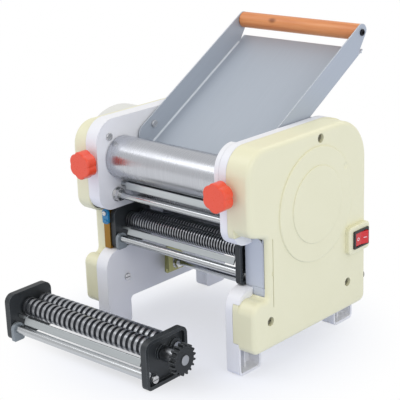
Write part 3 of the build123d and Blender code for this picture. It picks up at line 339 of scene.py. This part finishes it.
def worked_steel(name, colour, shade, roughness, along=(0.5, 30, 30), depth=0.03, spread=0.10,
                 anisotropic=0.5, edge=0.3):
    material, tree, shader, place = start_material(name, colour, roughness, 1.0,
                                                   Anisotropic=anisotropic)
    stretch = add(tree, "ShaderNodeMapping", {"vector_type": "POINT"},
                  {"Scale": tuple(1 / (size * MM) for size in along)}, {"Vector": place})
    scratches = add(tree, "ShaderNodeTexNoise", values={"Scale": 1.0, "Detail": 4.0},
                    links={"Vector": stretch.outputs[0]})
    stains = add(tree, "ShaderNodeTexNoise", values={"Scale": 1 / STAIN_SIZE, "Detail": 2.0},
                 links={"Vector": place})
    tint = add(tree, "ShaderNodeMix", {"data_type": "RGBA"},
               {"A": linear(colour), "B": linear(shade)}, {"Factor": scratches.outputs["Fac"]})
    both = add(tree, "ShaderNodeMath", {"operation": "ADD"},
               links={0: scratches.outputs["Fac"], 1: stains.outputs["Fac"]})
    dull = add(tree, "ShaderNodeMapRange",
               values={"From Min": 0.6, "From Max": 1.4, "To Min": max(0.05, roughness - spread),
                       "To Max": roughness + spread},
               links={"Value": both.outputs[0]})
    rounding = add(tree, "ShaderNodeBevel", {"samples": 4}, {"Radius": edge * MM})
    relief = add(tree, "ShaderNodeBump", values={"Strength": depth * 10, "Distance": 0.02 * MM},
                 links={"Height": scratches.outputs["Fac"], "Normal": rounding.outputs[0]})
    tree.links.new(tint.outputs["Result"], shader.inputs["Base Color"])
    tree.links.new(dull.outputs[0], shader.inputs["Roughness"])
    tree.links.new(relief.outputs[0], shader.inputs["Normal"])
    return material


ground_steel = worked_steel("ground_steel", "#CED0D6", "#B4B7BD", 0.28, along=(0.8, 60, 60),
                            depth=0.006, spread=0.06)
drawn_steel = worked_steel("drawn_steel", "#CDD0D3", "#B2B5B8", 0.22, along=(40, 0.6, 0.6))
milled_steel = worked_steel("milled_steel", "#A6A8AA", "#8A8C8F", 0.38, along=(8, 0.8, 0.8))
bright_zinc = worked_steel("bright_zinc_plate", "#D9D9DA", "#BFC0C2", 0.24, along=(3, 3, 3))
dull_zinc = worked_steel("dull_zinc_plate", "#8E8C7C", "#6E6C60", 0.42, along=(3, 3, 3))
clad(ground_steel, "front_roller", "rear_roller")
clad(drawn_steel, "tie_rods", "drive_shaft", "fine_cutter_latch_rod", "wide_cutter_latch_rod",
     "left_adjust_screw", "right_adjust_screw", "motor_spacers")
clad(milled_steel, "front_roller_gear", "rear_roller_gears", "motor_pinion", "idler_gear",
     "idler_bracket", "fine_cutter_rear_gear", "wide_cutter_rear_gear")
clad(bright_zinc, "tie_rod_nuts", "panel_screws", "fine_cutter_screws", "wide_cutter_screws")
clad(dull_zinc, "cover_screws")

# %% [markdown]
# The tray's four screws are of two kinds. The two that it turns on are bright zinc plated, and the
# two that hold the handle are black socket screws. They share one mesh, and a step in height
# between them picks the finish.

# %% Tray screws
handle_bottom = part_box("tray_handle")[0][2]
HANDLE_SCREWS_BELOW = 5 * MM                            # how far they reach under the handle
screw_finish, tree, shader, place = start_material("zinc_and_black_oxide", "#D9D9DA", 0.3, 1.0)
height = add(tree, "ShaderNodeSeparateXYZ", links={0: place})
at_handle = add(tree, "ShaderNodeMath", {"operation": "GREATER_THAN"},
                {1: handle_bottom - HANDLE_SCREWS_BELOW}, {0: height.outputs["Z"]})
wear = add(tree, "ShaderNodeTexNoise", values={"Scale": 1 / (1.5 * MM)}, links={"Vector": place})
zinc = add(tree, "ShaderNodeMix", {"data_type": "RGBA"},
           {"A": linear("#DDDDDE"), "B": linear("#BFC0C2")}, {"Factor": wear.outputs["Fac"]})
finish = add(tree, "ShaderNodeMix", {"data_type": "RGBA"}, {"B": linear("#2A2C30")},
             {"Factor": at_handle.outputs[0], "A": zinc.outputs["Result"]})
tree.links.new(finish.outputs["Result"], shader.inputs["Base Color"])
soft_edge = add(tree, "ShaderNodeBevel", {"samples": 4}, {"Radius": 0.3 * MM})
tree.links.new(soft_edge.outputs[0], shader.inputs["Normal"])
clad(screw_finish, "tray_screws")

# %% [markdown]
# ## Cutting rings
# The rings of a cutter roller are ground bright on their tops. The grooves between them are painted
# dark: that is painted shade for the shadow that falls between the rings. The distance of a point
# from the roller's axis tells the two apart: the coordinates are moved to the axis, turned with the
# roller, and the length of what is left across the axis is compared with the ring's radius.


# %% Recipe for rings with painted shade in the grooves
def ring_steel(name, axis_point, turned_by, ring_radius, groove_radius, half_length, top, groove_shade):
    material, tree, shader, place = start_material(name, top, 0.30, 1.0)
    moved = add(tree, "ShaderNodeVectorMath", {"operation": "SUBTRACT"}, {1: tuple(axis_point)},
                {0: place})
    turned = add(tree, "ShaderNodeVectorRotate", {"rotation_type": "Z_AXIS"}, {"Angle": -turned_by},
                 {"Vector": moved.outputs[0]})
    across = add(tree, "ShaderNodeVectorMath", {"operation": "MULTIPLY"}, {1: (0, 1, 1)},
                 {0: turned.outputs[0]})
    distance = add(tree, "ShaderNodeVectorMath", {"operation": "LENGTH"}, links={0: across.outputs[0]})
    ring_part = add(tree, "ShaderNodeMapRange",
                    values={"From Min": (groove_radius + 0.1) * MM,
                            "From Max": (0.6 * groove_radius + 0.4 * ring_radius) * MM},
                    links={"Value": distance.outputs["Value"]})
    lengthwise = add(tree, "ShaderNodeSeparateXYZ", links={0: turned.outputs[0]})
    from_middle = add(tree, "ShaderNodeMath", {"operation": "ABSOLUTE"},
                      links={0: lengthwise.outputs["X"]})
    bare_shaft = add(tree, "ShaderNodeMath", {"operation": "GREATER_THAN"}, {1: half_length * MM},
                     {0: from_middle.outputs[0]})
    on_top = add(tree, "ShaderNodeMath", {"operation": "MAXIMUM"},
                 links={0: ring_part.outputs[0], 1: bare_shaft.outputs[0]})
    stretch = add(tree, "ShaderNodeVectorMath", {"operation": "MULTIPLY"},
                  {1: (1 / (0.25 * MM), 1 / (30 * MM), 1 / (30 * MM))}, {0: turned.outputs[0]})
    scratches = add(tree, "ShaderNodeTexNoise", values={"Scale": 1.0, "Detail": 3.0},
                    links={"Vector": stretch.outputs[0]})
    bright = add(tree, "ShaderNodeMix", {"data_type": "RGBA"},
                 {"A": linear(top), "B": linear("#8C8F94")}, {"Factor": scratches.outputs["Fac"]})
    # Below the ring tops the colour turns dark: painted shade for the shadow between the rings.
    tint = add(tree, "ShaderNodeMix", {"data_type": "RGBA"}, {"A": linear(groove_shade)},
               {"Factor": on_top.outputs[0], "B": bright.outputs["Result"]})
    dull = add(tree, "ShaderNodeMapRange", values={"To Min": 0.6, "To Max": 0.28},
               links={"Value": on_top.outputs[0]})
    rounding = add(tree, "ShaderNodeBevel", {"samples": 4}, {"Radius": 0.25 * MM})
    tree.links.new(tint.outputs["Result"], shader.inputs["Base Color"])
    tree.links.new(dull.outputs[0], shader.inputs["Roughness"])
    tree.links.new(rounding.outputs[0], shader.inputs["Normal"])
    return material


RING_R, GROOVE_R, RING_END = 10.0, 7.4, 93.6
FINE_AXES = {"front": (43.5, 130.0), "rear": (61.5, 130.0)}
SPARE_SIZE, SPARE_TURN = 1.14, math.radians(1.22)
SPARE_MIDDLE = Vector((-57.5, -58.6, 0))
SPARE_OFFSETS = {"front": -3.5, "rear": 14.5}           # axes from the plates' middle line
SPARE_AXIS_HEIGHT = 31.5
# The last colour of each call is the painted shade in the grooves.
for which, (y, z) in FINE_AXES.items():
    steel = ring_steel("fine_ring_steel_" + which, ZERO + Vector((0, y, z)) * MM, 0.0, RING_R,
                       GROOVE_R, RING_END, "#B2B4B9", "#3A3C40")
    clad(steel, "fine_cutter_" + which + "_roller")
for which, offset in SPARE_OFFSETS.items():
    reach = offset * SPARE_SIZE
    point = SPARE_MIDDLE + Vector((-reach * math.sin(SPARE_TURN), reach * math.cos(SPARE_TURN),
                                   SPARE_AXIS_HEIGHT * SPARE_SIZE))
    steel = ring_steel("wide_ring_steel_" + which, ZERO + point * MM, SPARE_TURN,
                       RING_R * SPARE_SIZE, GROOVE_R * SPARE_SIZE, RING_END * SPARE_SIZE,
                       "#B2B4B8", "#6A6D72")
    clad(steel, "wide_cutter_" + which + "_roller")

# %% [markdown]
# ## Sheet aluminium
# The tray is folded from brushed and anodised aluminium. The clear oxide layer scatters some of the
# light, so it is far less metallic than bare metal. The brush ran down the slope, so the lines do
# too: the coordinates are first turned by the tray's slope, then stretched along it. Edges and folds
# are painted almost white: a painted highlight for the bright line that the lamps leave on them. A
# bevelled normal leaves the true one only near an edge, and one helper turns that difference into a
# share, of painted highlight here and of wear on the castings.

# %% Tray sheet
TRAY_SLOPE = math.radians(30.3)
BRUSH_WIDTH, BRUSH_LENGTH, CLOUD_SIZE = 0.7 * MM, 60 * MM, 90 * MM


def edge_wear_and_highlight(tree, rounding, most):
    """From 0 on a flat face to most on an edge, where the bevelled normal leaves the true one."""
    true_normal = add(tree, "ShaderNodeNewGeometry").outputs["Normal"]
    agreement = add(tree, "ShaderNodeVectorMath", {"operation": "DOT_PRODUCT"},
                    links={0: rounding.outputs[0], 1: true_normal})
    return add(tree, "ShaderNodeMapRange",
               values={"From Min": 0.995, "From Max": 0.90, "To Min": 0.0, "To Max": most},
               links={"Value": agreement.outputs["Value"]})


tray_sheet, tree, shader, place = start_material("satin_anodised_aluminium", "#BEC5CD", 0.40, 0.2)
turned = add(tree, "ShaderNodeVectorRotate", {"rotation_type": "X_AXIS"}, {"Angle": -TRAY_SLOPE},
             {"Vector": place})
brushed = add(tree, "ShaderNodeMapping",
              values={"Scale": (1 / BRUSH_WIDTH, 1 / BRUSH_LENGTH, 1 / BRUSH_WIDTH)},
              links={"Vector": turned.outputs[0]})
lines = add(tree, "ShaderNodeTexNoise", values={"Scale": 1.0, "Detail": 5.0},
            links={"Vector": brushed.outputs[0]})
clouds = add(tree, "ShaderNodeTexNoise", values={"Scale": 1 / CLOUD_SIZE, "Detail": 2.0},
             links={"Vector": place})
sheen = add(tree, "ShaderNodeMix", {"data_type": "RGBA"},
            {"A": linear("#B6BEC8"), "B": linear("#AAB2BD")}, {"Factor": lines.outputs["Fac"]})
mixed = add(tree, "ShaderNodeMath", {"operation": "ADD"},
            links={0: lines.outputs["Fac"], 1: clouds.outputs["Fac"]})
satin = add(tree, "ShaderNodeMapRange",
            values={"From Min": 0.6, "From Max": 1.4, "To Min": 0.42, "To Max": 0.52},
            links={"Value": mixed.outputs[0]})
fold = add(tree, "ShaderNodeBevel", {"samples": 6}, {"Radius": 0.8 * MM})
# Edges and folds are mixed towards near white: a painted highlight.
painted_edge_highlight = edge_wear_and_highlight(tree, fold, 0.9)
with_painted_fold_highlight = add(tree, "ShaderNodeMix", {"data_type": "RGBA"}, {"B": linear("#F4F7FA")},
                 {"Factor": painted_edge_highlight.outputs[0], "A": sheen.outputs["Result"]})
grooves = add(tree, "ShaderNodeBump", values={"Strength": 0.15, "Distance": 0.02 * MM},
              links={"Height": lines.outputs["Fac"], "Normal": fold.outputs[0]})
tree.links.new(with_painted_fold_highlight.outputs["Result"], shader.inputs["Base Color"])
tree.links.new(satin.outputs[0], shader.inputs["Roughness"])
tree.links.new(grooves.outputs[0], shader.inputs["Normal"])
clad(tray_sheet, "tray")

# %% [markdown]
# A brake press can't fold sheet to a sharp inner corner. Each fold keeps a bend of one or two
# millimetres, and that narrow curve catches the lamps as a bright line from end to end. Its metal is
# also painted lighter than the tray, a painted highlight that strengthens that line. The bend is a
# quarter round strip in the corner between the tray's floor and each side. It is built along X = 0 in
# the tray's own slope, and then moved to both corners.


# %% Bends along the tray's folds
TRAY_ROOT = ZERO + Vector((0, 88.0, 219.4)) * MM
TRAY_FROM, TRAY_TO = -18.0, 183.0
BEND_R, BEND_STEPS = 1.8, 8
slope_out = Vector((0, math.cos(TRAY_SLOPE), math.sin(TRAY_SLOPE)))
slope_up = Vector((0, -math.sin(TRAY_SLOPE), math.cos(TRAY_SLOPE)))
# The bend's light colour is a painted highlight on top of the light that its curve catches.
bend_highlight_metal, tree, shader, place = start_material("bend_aluminium_painted_highlight", "#DCE2E8", 0.5, 0.3)
bend_mottle = add(tree, "ShaderNodeTexNoise", values={"Scale": 1 / (5 * MM)}, links={"Vector": place})
bend_highlight_tone = add(tree, "ShaderNodeMix", {"data_type": "RGBA"},
             {"A": linear("#DEE4EA"), "B": linear("#CDD4DB")}, {"Factor": bend_mottle.outputs["Fac"]})
tree.links.new(bend_highlight_tone.outputs["Result"], shader.inputs["Base Color"])
TRAY_HALF_WIDTH, SHEET_THICKNESS = 91.0, 1.2
section = [(0.05, -0.05)]
for k in range(BEND_STEPS + 1):
    angle = math.pi / 2 * k / BEND_STEPS
    section.append((-BEND_R + BEND_R * math.sin(angle), BEND_R - BEND_R * math.cos(angle)))
for side, name in ((-1, "tray_left_bend"), (1, "tray_right_bend")):
    corner = side * (TRAY_HALF_WIDTH - SHEET_THICKNESS)
    rows = [[TRAY_ROOT + (Vector((corner + side * a, 0, 0)) + slope_out * reach + slope_up * b) * MM
             for a, b in section] for reach in (TRAY_FROM, TRAY_TO)]
    bend = bar_through(rows, name, bend_highlight_metal)
    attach(bend, "tray")
print("two bends,", TRAY_TO - TRAY_FROM, "mm long")

# %% [markdown]
# ## Extruded, cast and rolled metal
# The scraper bars are extruded, with straight lines along their length. The bearing blocks are die
# cast, so their skin has no direction at all. The guard under the tray is rolled steel, and its dark
# colour is partly painted shade for the dim inside of the body under the tray.
# All three use the recipe for worked steel, with other pattern sizes.

# %% Scraper bars, bearing blocks, inner guard
extruded_aluminium = worked_steel("extruded_aluminium", "#CBD0D2", "#B7BDC0", 0.34,
                                  along=(50, 0.7, 0.7), anisotropic=0.3)
cast_aluminium = worked_steel("cast_aluminium", "#B9BBBD", "#A0A2A5", 0.45, along=(4, 4, 4),
                              anisotropic=0.0)
# Its dark colour is partly painted shade, for the dim inside of the body.
guard_steel_painted_shade = worked_steel("guard_steel_painted_shade", "#6E7175", "#55585C", 0.42, along=(30, 1, 1))
clad(extruded_aluminium, "roller_scrapers", "fine_cutter_scrapers", "wide_cutter_scrapers")
clad(cast_aluminium, "bearing_blocks")
clad(guard_steel_painted_shade, "inner_guard")

# %% [markdown]
# ## Dark cast plates and gears
# The cutters' end plates are cast and coated almost black. Sand casting leaves a fine pebbled
# surface, and handling polishes the edges, so the edges are a little lighter. The pointiness of
# the geometry could find the edges, but it needs dense meshes, so the helper for edge wear is used
# here too.


# %% Recipe for coated castings
PEBBLE_SIZE = 0.9 * MM


def coated_casting(name, colour, worn, roughness, metallic=0.3):
    material, tree, shader, place = start_material(name, colour, roughness, metallic)
    pebbles = add(tree, "ShaderNodeTexNoise", values={"Scale": 1 / PEBBLE_SIZE, "Detail": 3.0},
                  links={"Vector": place})
    rounding = add(tree, "ShaderNodeBevel", {"samples": 4}, {"Radius": 0.7 * MM})
    wear = edge_wear_and_highlight(tree, rounding, 0.7)
    tint = add(tree, "ShaderNodeMix", {"data_type": "RGBA"},
               {"A": linear(colour), "B": linear(worn)}, {"Factor": wear.outputs[0]})
    dull = add(tree, "ShaderNodeMapRange",
               values={"From Min": 0.3, "From Max": 0.7, "To Min": roughness - 0.06,
                       "To Max": roughness + 0.08},
               links={"Value": pebbles.outputs["Fac"]})
    relief = add(tree, "ShaderNodeBump", values={"Strength": 0.35, "Distance": 0.08 * MM},
                 links={"Height": pebbles.outputs["Fac"], "Normal": rounding.outputs[0]})
    tree.links.new(tint.outputs["Result"], shader.inputs["Base Color"])
    tree.links.new(dull.outputs[0], shader.inputs["Roughness"])
    tree.links.new(relief.outputs[0], shader.inputs["Normal"])
    return material


black_casting = coated_casting("black_coated_casting", "#33373A", "#7B8084", 0.42)
gear_black = coated_casting("blackened_steel", "#2B2E31", "#6A6E72", 0.36, 0.6)
motor_paint = coated_casting("grey_motor_enamel", "#3A3D40", "#5A5D60", 0.5, 0.0)
grey_enamel = coated_casting("grey_enamel", "#C4CAD5", "#D2D7DF", 0.40, 0.0)
yellow_zinc = coated_casting("yellow_zinc_plate", "#9A7332", "#C0A05A", 0.38, 0.85)
grey_zinc = coated_casting("grey_zinc_casting", "#8A9298", "#A8AFB4", 0.42, 0.5)
olive_zinc = coated_casting("pale_zinc_plate", "#A9A872", "#C4C49A", 0.40, 0.7)
black_rubber = coated_casting("black_rubber", "#1A1A1B", "#242425", 0.7, 0.0)
bronze = coated_casting("sintered_bronze", "#A8834C", "#C29E66", 0.42, 0.9)
clad(black_casting, "fine_cutter_left_plate", "fine_cutter_right_plate", "wide_cutter_left_plate",
     "wide_cutter_right_plate")
clad(grey_zinc, "fine_cutter_latch_lever", "wide_cutter_latch_lever")
clad(gear_black, "fine_cutter_front_gears", "wide_cutter_front_gears")
clad(motor_paint, "motor_body")
clad(grey_enamel, "bay_door", "bay_lower_plate")
clad(yellow_zinc, "cutter_guide_plate")
clad(olive_zinc, "motor_bracket")
clad(black_rubber, "cord_gland")
clad(bronze, "rear_roller_bushes")

# %% [markdown]
# ## Varnished wood
# The tray's handle is a turned and varnished softwood bar. Its grain runs along the bar: noise
# stretched along X gives soft growth bands, and a finer one the fibres. A knot is a dark spot, longer
# along the grain than across it, so it is drawn from the scaled distance to one point. The varnish
# is a thin clear coat on top.

# %% Handle wood
BAND_LENGTH, BAND_WIDTH = 90 * MM, 6 * MM
FIBRE_LENGTH, FIBRE_WIDTH = 14 * MM, 0.7 * MM
KNOT_LENGTH, KNOT_WIDTH = 5.5 * MM, 3.2 * MM
handle_wood, tree, shader, place = start_material("varnished_pine", "#D8884E", 0.42, IOR=1.5,
                                                  Coat_Weight=0.2, Coat_Roughness=0.2)
handle_low, handle_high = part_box("tray_handle")
KNOT = Vector((handle_low[0] + 53 * MM, handle_low[1] + 0.8 * MM,
               (handle_low[2] + handle_high[2]) / 2 + 4.5 * MM))
from_knot = add(tree, "ShaderNodeVectorMath", {"operation": "SUBTRACT"}, {1: tuple(KNOT)}, {0: place})
knot_shape = add(tree, "ShaderNodeVectorMath", {"operation": "MULTIPLY"},
                 {1: (1 / KNOT_LENGTH, 1 / KNOT_WIDTH, 1 / KNOT_WIDTH)}, {0: from_knot.outputs[0]})
knot_distance = add(tree, "ShaderNodeVectorMath", {"operation": "LENGTH"},
                    links={0: knot_shape.outputs[0]})
knot_core = add(tree, "ShaderNodeMapRange", {"interpolation_type": "SMOOTHSTEP"},
                {"From Min": 1.5, "From Max": 0.3, "To Min": 0.0, "To Max": 0.95},
                {"Value": knot_distance.outputs["Value"]})
along_grain = add(tree, "ShaderNodeMapping",
                  values={"Scale": (1 / BAND_LENGTH, 1 / BAND_WIDTH, 1 / BAND_WIDTH)},
                  links={"Vector": place})
growth = add(tree, "ShaderNodeTexNoise", values={"Scale": 1.0, "Detail": 2.0, "Distortion": 0.4},
             links={"Vector": along_grain.outputs[0]})
fibre_place = add(tree, "ShaderNodeMapping",
                  values={"Scale": (1 / FIBRE_LENGTH, 1 / FIBRE_WIDTH, 1 / FIBRE_WIDTH)},
                  links={"Vector": place})
fibres = add(tree, "ShaderNodeTexNoise", values={"Scale": 1.0, "Detail": 2.0},
             links={"Vector": fibre_place.outputs[0]})
wood_tint = add(tree, "ShaderNodeValToRGB", links={"Fac": growth.outputs["Fac"]})
dark_band, light_band = wood_tint.color_ramp.elements
dark_band.position, dark_band.color = 0.30, linear("#D98B54")
light_band.position, light_band.color = 0.70, linear("#EBA469")
with_fibres = add(tree, "ShaderNodeMix", {"data_type": "RGBA", "blend_type": "MULTIPLY"},
                  {"B": linear("#F4DCC4")},
                  {"Factor": fibres.outputs["Fac"], "A": wood_tint.outputs[0]})
with_knot = add(tree, "ShaderNodeMix", {"data_type": "RGBA"}, {"B": linear("#93501F")},
                {"Factor": knot_core.outputs[0], "A": with_fibres.outputs["Result"]})
pores = add(tree, "ShaderNodeBump", values={"Strength": 0.15, "Distance": 0.05 * MM},
            links={"Height": fibres.outputs["Fac"]})
tree.links.new(with_knot.outputs["Result"], shader.inputs["Base Color"])
tree.links.new(pores.outputs[0], shader.inputs["Normal"])
clad(handle_wood, "tray_handle")

# %% [markdown]
# ## The floor and the light
# The machine stands in a plain white studio. The floor has to take a soft shadow and still fade
# into the white background, so for the camera its own white is mixed with plain light: about half
# near the machine, where the shadow is, and plain light alone further out. The same is done for mirror
# rays, so that steel reflects a white room. The lamps are large, so that all shadows are soft.

# %% Studio floor
floor_mesh = bpy.data.meshes.new("studio_floor")
FLOOR_HALF, FLOOR_DROP = 6.0, 0.0004
SHADOW_MIDDLE, SHADOW_FROM, SHADOW_TO = (0.02, -0.02, 0), 0.09, 0.25
floor_mesh.from_pydata([(-FLOOR_HALF, -FLOOR_HALF, 0), (FLOOR_HALF, -FLOOR_HALF, 0),
                        (FLOOR_HALF, FLOOR_HALF, 0), (-FLOOR_HALF, FLOOR_HALF, 0)], [], [(0, 1, 2, 3)])
floor = bpy.data.objects.new("studio_floor", floor_mesh)
floor.location.z = -FLOOR_DROP
bpy.context.scene.collection.objects.link(floor)
floor_paint = bpy.data.materials.new("studio_white")
floor_paint.use_nodes = True
tree = floor_paint.node_tree
tree.nodes.clear()
paint = add(tree, "ShaderNodeBsdfDiffuse", values={"Color": linear("#DDE4FA")})
glow = add(tree, "ShaderNodeEmission", values={"Color": (1, 1, 1, 1), "Strength": 1.0})
path = add(tree, "ShaderNodeLightPath")
seen = add(tree, "ShaderNodeMath", {"operation": "MAXIMUM"},
           links={0: path.outputs["Is Camera Ray"], 1: path.outputs["Is Glossy Ray"]})
from_set = add(tree, "ShaderNodeVectorMath", {"operation": "DISTANCE"}, {1: SHADOW_MIDDLE},
               {0: add(tree, "ShaderNodeTexCoord").outputs["Object"]})
fade = add(tree, "ShaderNodeMapRange", {"interpolation_type": "SMOOTHSTEP"},
           {"From Min": SHADOW_FROM, "From Max": SHADOW_TO, "To Min": 0.55, "To Max": 1.0},
           {"Value": from_set.outputs["Value"]})
share = add(tree, "ShaderNodeMath", {"operation": "MULTIPLY"},
            links={0: seen.outputs[0], 1: fade.outputs[0]})
surface = add(tree, "ShaderNodeMixShader",
              links={0: share.outputs[0], 1: paint.outputs[0], 2: glow.outputs[0]})
add(tree, "ShaderNodeOutputMaterial", links={"Surface": surface.outputs[0]})
floor_mesh.materials.append(floor_paint)
print("floor", FLOOR_HALF * 2, "m square")

# %% [markdown]
# The world is white too, but it lights the machine at a little under one, which leaves room for the
# lamps. Where a camera or transmission ray meets it, it has the full strength of a white backdrop.
# Three large square lamps add shape: the key from the front left, a side lamp for the cover with
# the switch, and a weak one from behind for the rims.

# %% World and lamps
world = bpy.data.worlds.new("studio")
bpy.context.scene.world = world
world.use_nodes = True
tree = world.node_tree
tree.nodes.clear()
path = add(tree, "ShaderNodeLightPath")
seen = add(tree, "ShaderNodeMath", {"operation": "MAXIMUM"},
           links={0: path.outputs["Is Camera Ray"], 1: path.outputs["Is Transmission Ray"]})
strength = add(tree, "ShaderNodeMapRange", values={"To Min": 0.78, "To Max": 1.0},
               links={"Value": seen.outputs[0]})
sky = add(tree, "ShaderNodeBackground", values={"Color": (1, 1, 1, 1)},
          links={"Strength": strength.outputs[0]})
add(tree, "ShaderNodeOutputWorld", links={"Surface": sky.outputs[0]})


def soft_lamp(name, place, aim, size, watts):
    data = bpy.data.lights.new(name, "AREA")
    data.shape = "SQUARE"
    data.size = size
    data.energy = watts
    lamp = bpy.data.objects.new(name, data)
    lamp.location = place
    lamp.rotation_euler = (Vector(aim) - Vector(place)).to_track_quat("-Z", "Y").to_euler()
    bpy.context.scene.collection.objects.link(lamp)
    print(name, "at", place, watts, "W")


soft_lamp("key_lamp", place=(-0.9, -1.1, 1.9), aim=(0, 0, 0.1), size=1.2, watts=10)
soft_lamp("side_lamp", place=(1.9, -0.6, 1.1), aim=(0, 0, 0.12), size=1.2, watts=9)
soft_lamp("back_lamp", place=(0.2, 1.5, 1.6), aim=(0, 0, 0.15), size=1.4, watts=5)

# %% [markdown]
# ## The camera
# The camera stands to the right and above, about 1.4 m away, and is tilted by two degrees. Its
# place, its angles and its focal length in pixels are written as measured, and turned into a
# lens for a 36 mm sensor.

# %% Camera
CAMERA_PLACE = ZERO + Vector((0.8934, -0.89475, 0.58905))
YAW, PITCH, ROLL = math.radians(42.91), math.radians(17.89), math.radians(-2.12)
FOCAL_PIXELS, IMAGE_PIXELS, SENSOR_WIDTH = 1198.6, 400, 36
back = Vector((math.sin(YAW) * math.cos(PITCH), -math.cos(YAW) * math.cos(PITCH), math.sin(PITCH)))
level = (-back).cross(Vector((0, 0, 1))).normalized()
upright = level.cross(-back)
right = math.cos(ROLL) * level + math.sin(ROLL) * upright
up = math.cos(ROLL) * upright - math.sin(ROLL) * level
lens = bpy.data.cameras.new("camera")
lens.sensor_width = SENSOR_WIDTH
lens.lens = FOCAL_PIXELS * SENSOR_WIDTH / IMAGE_PIXELS
camera = bpy.data.objects.new("camera", lens)
turn = Matrix((right, up, back)).transposed()
camera.matrix_world = Matrix.Translation(CAMERA_PLACE) @ turn.to_4x4()
bpy.context.scene.collection.objects.link(camera)
bpy.context.scene.camera = camera
bpy.context.scene.view_settings.view_transform = "Standard"
print("lens", round(lens.lens, 1), "mm")
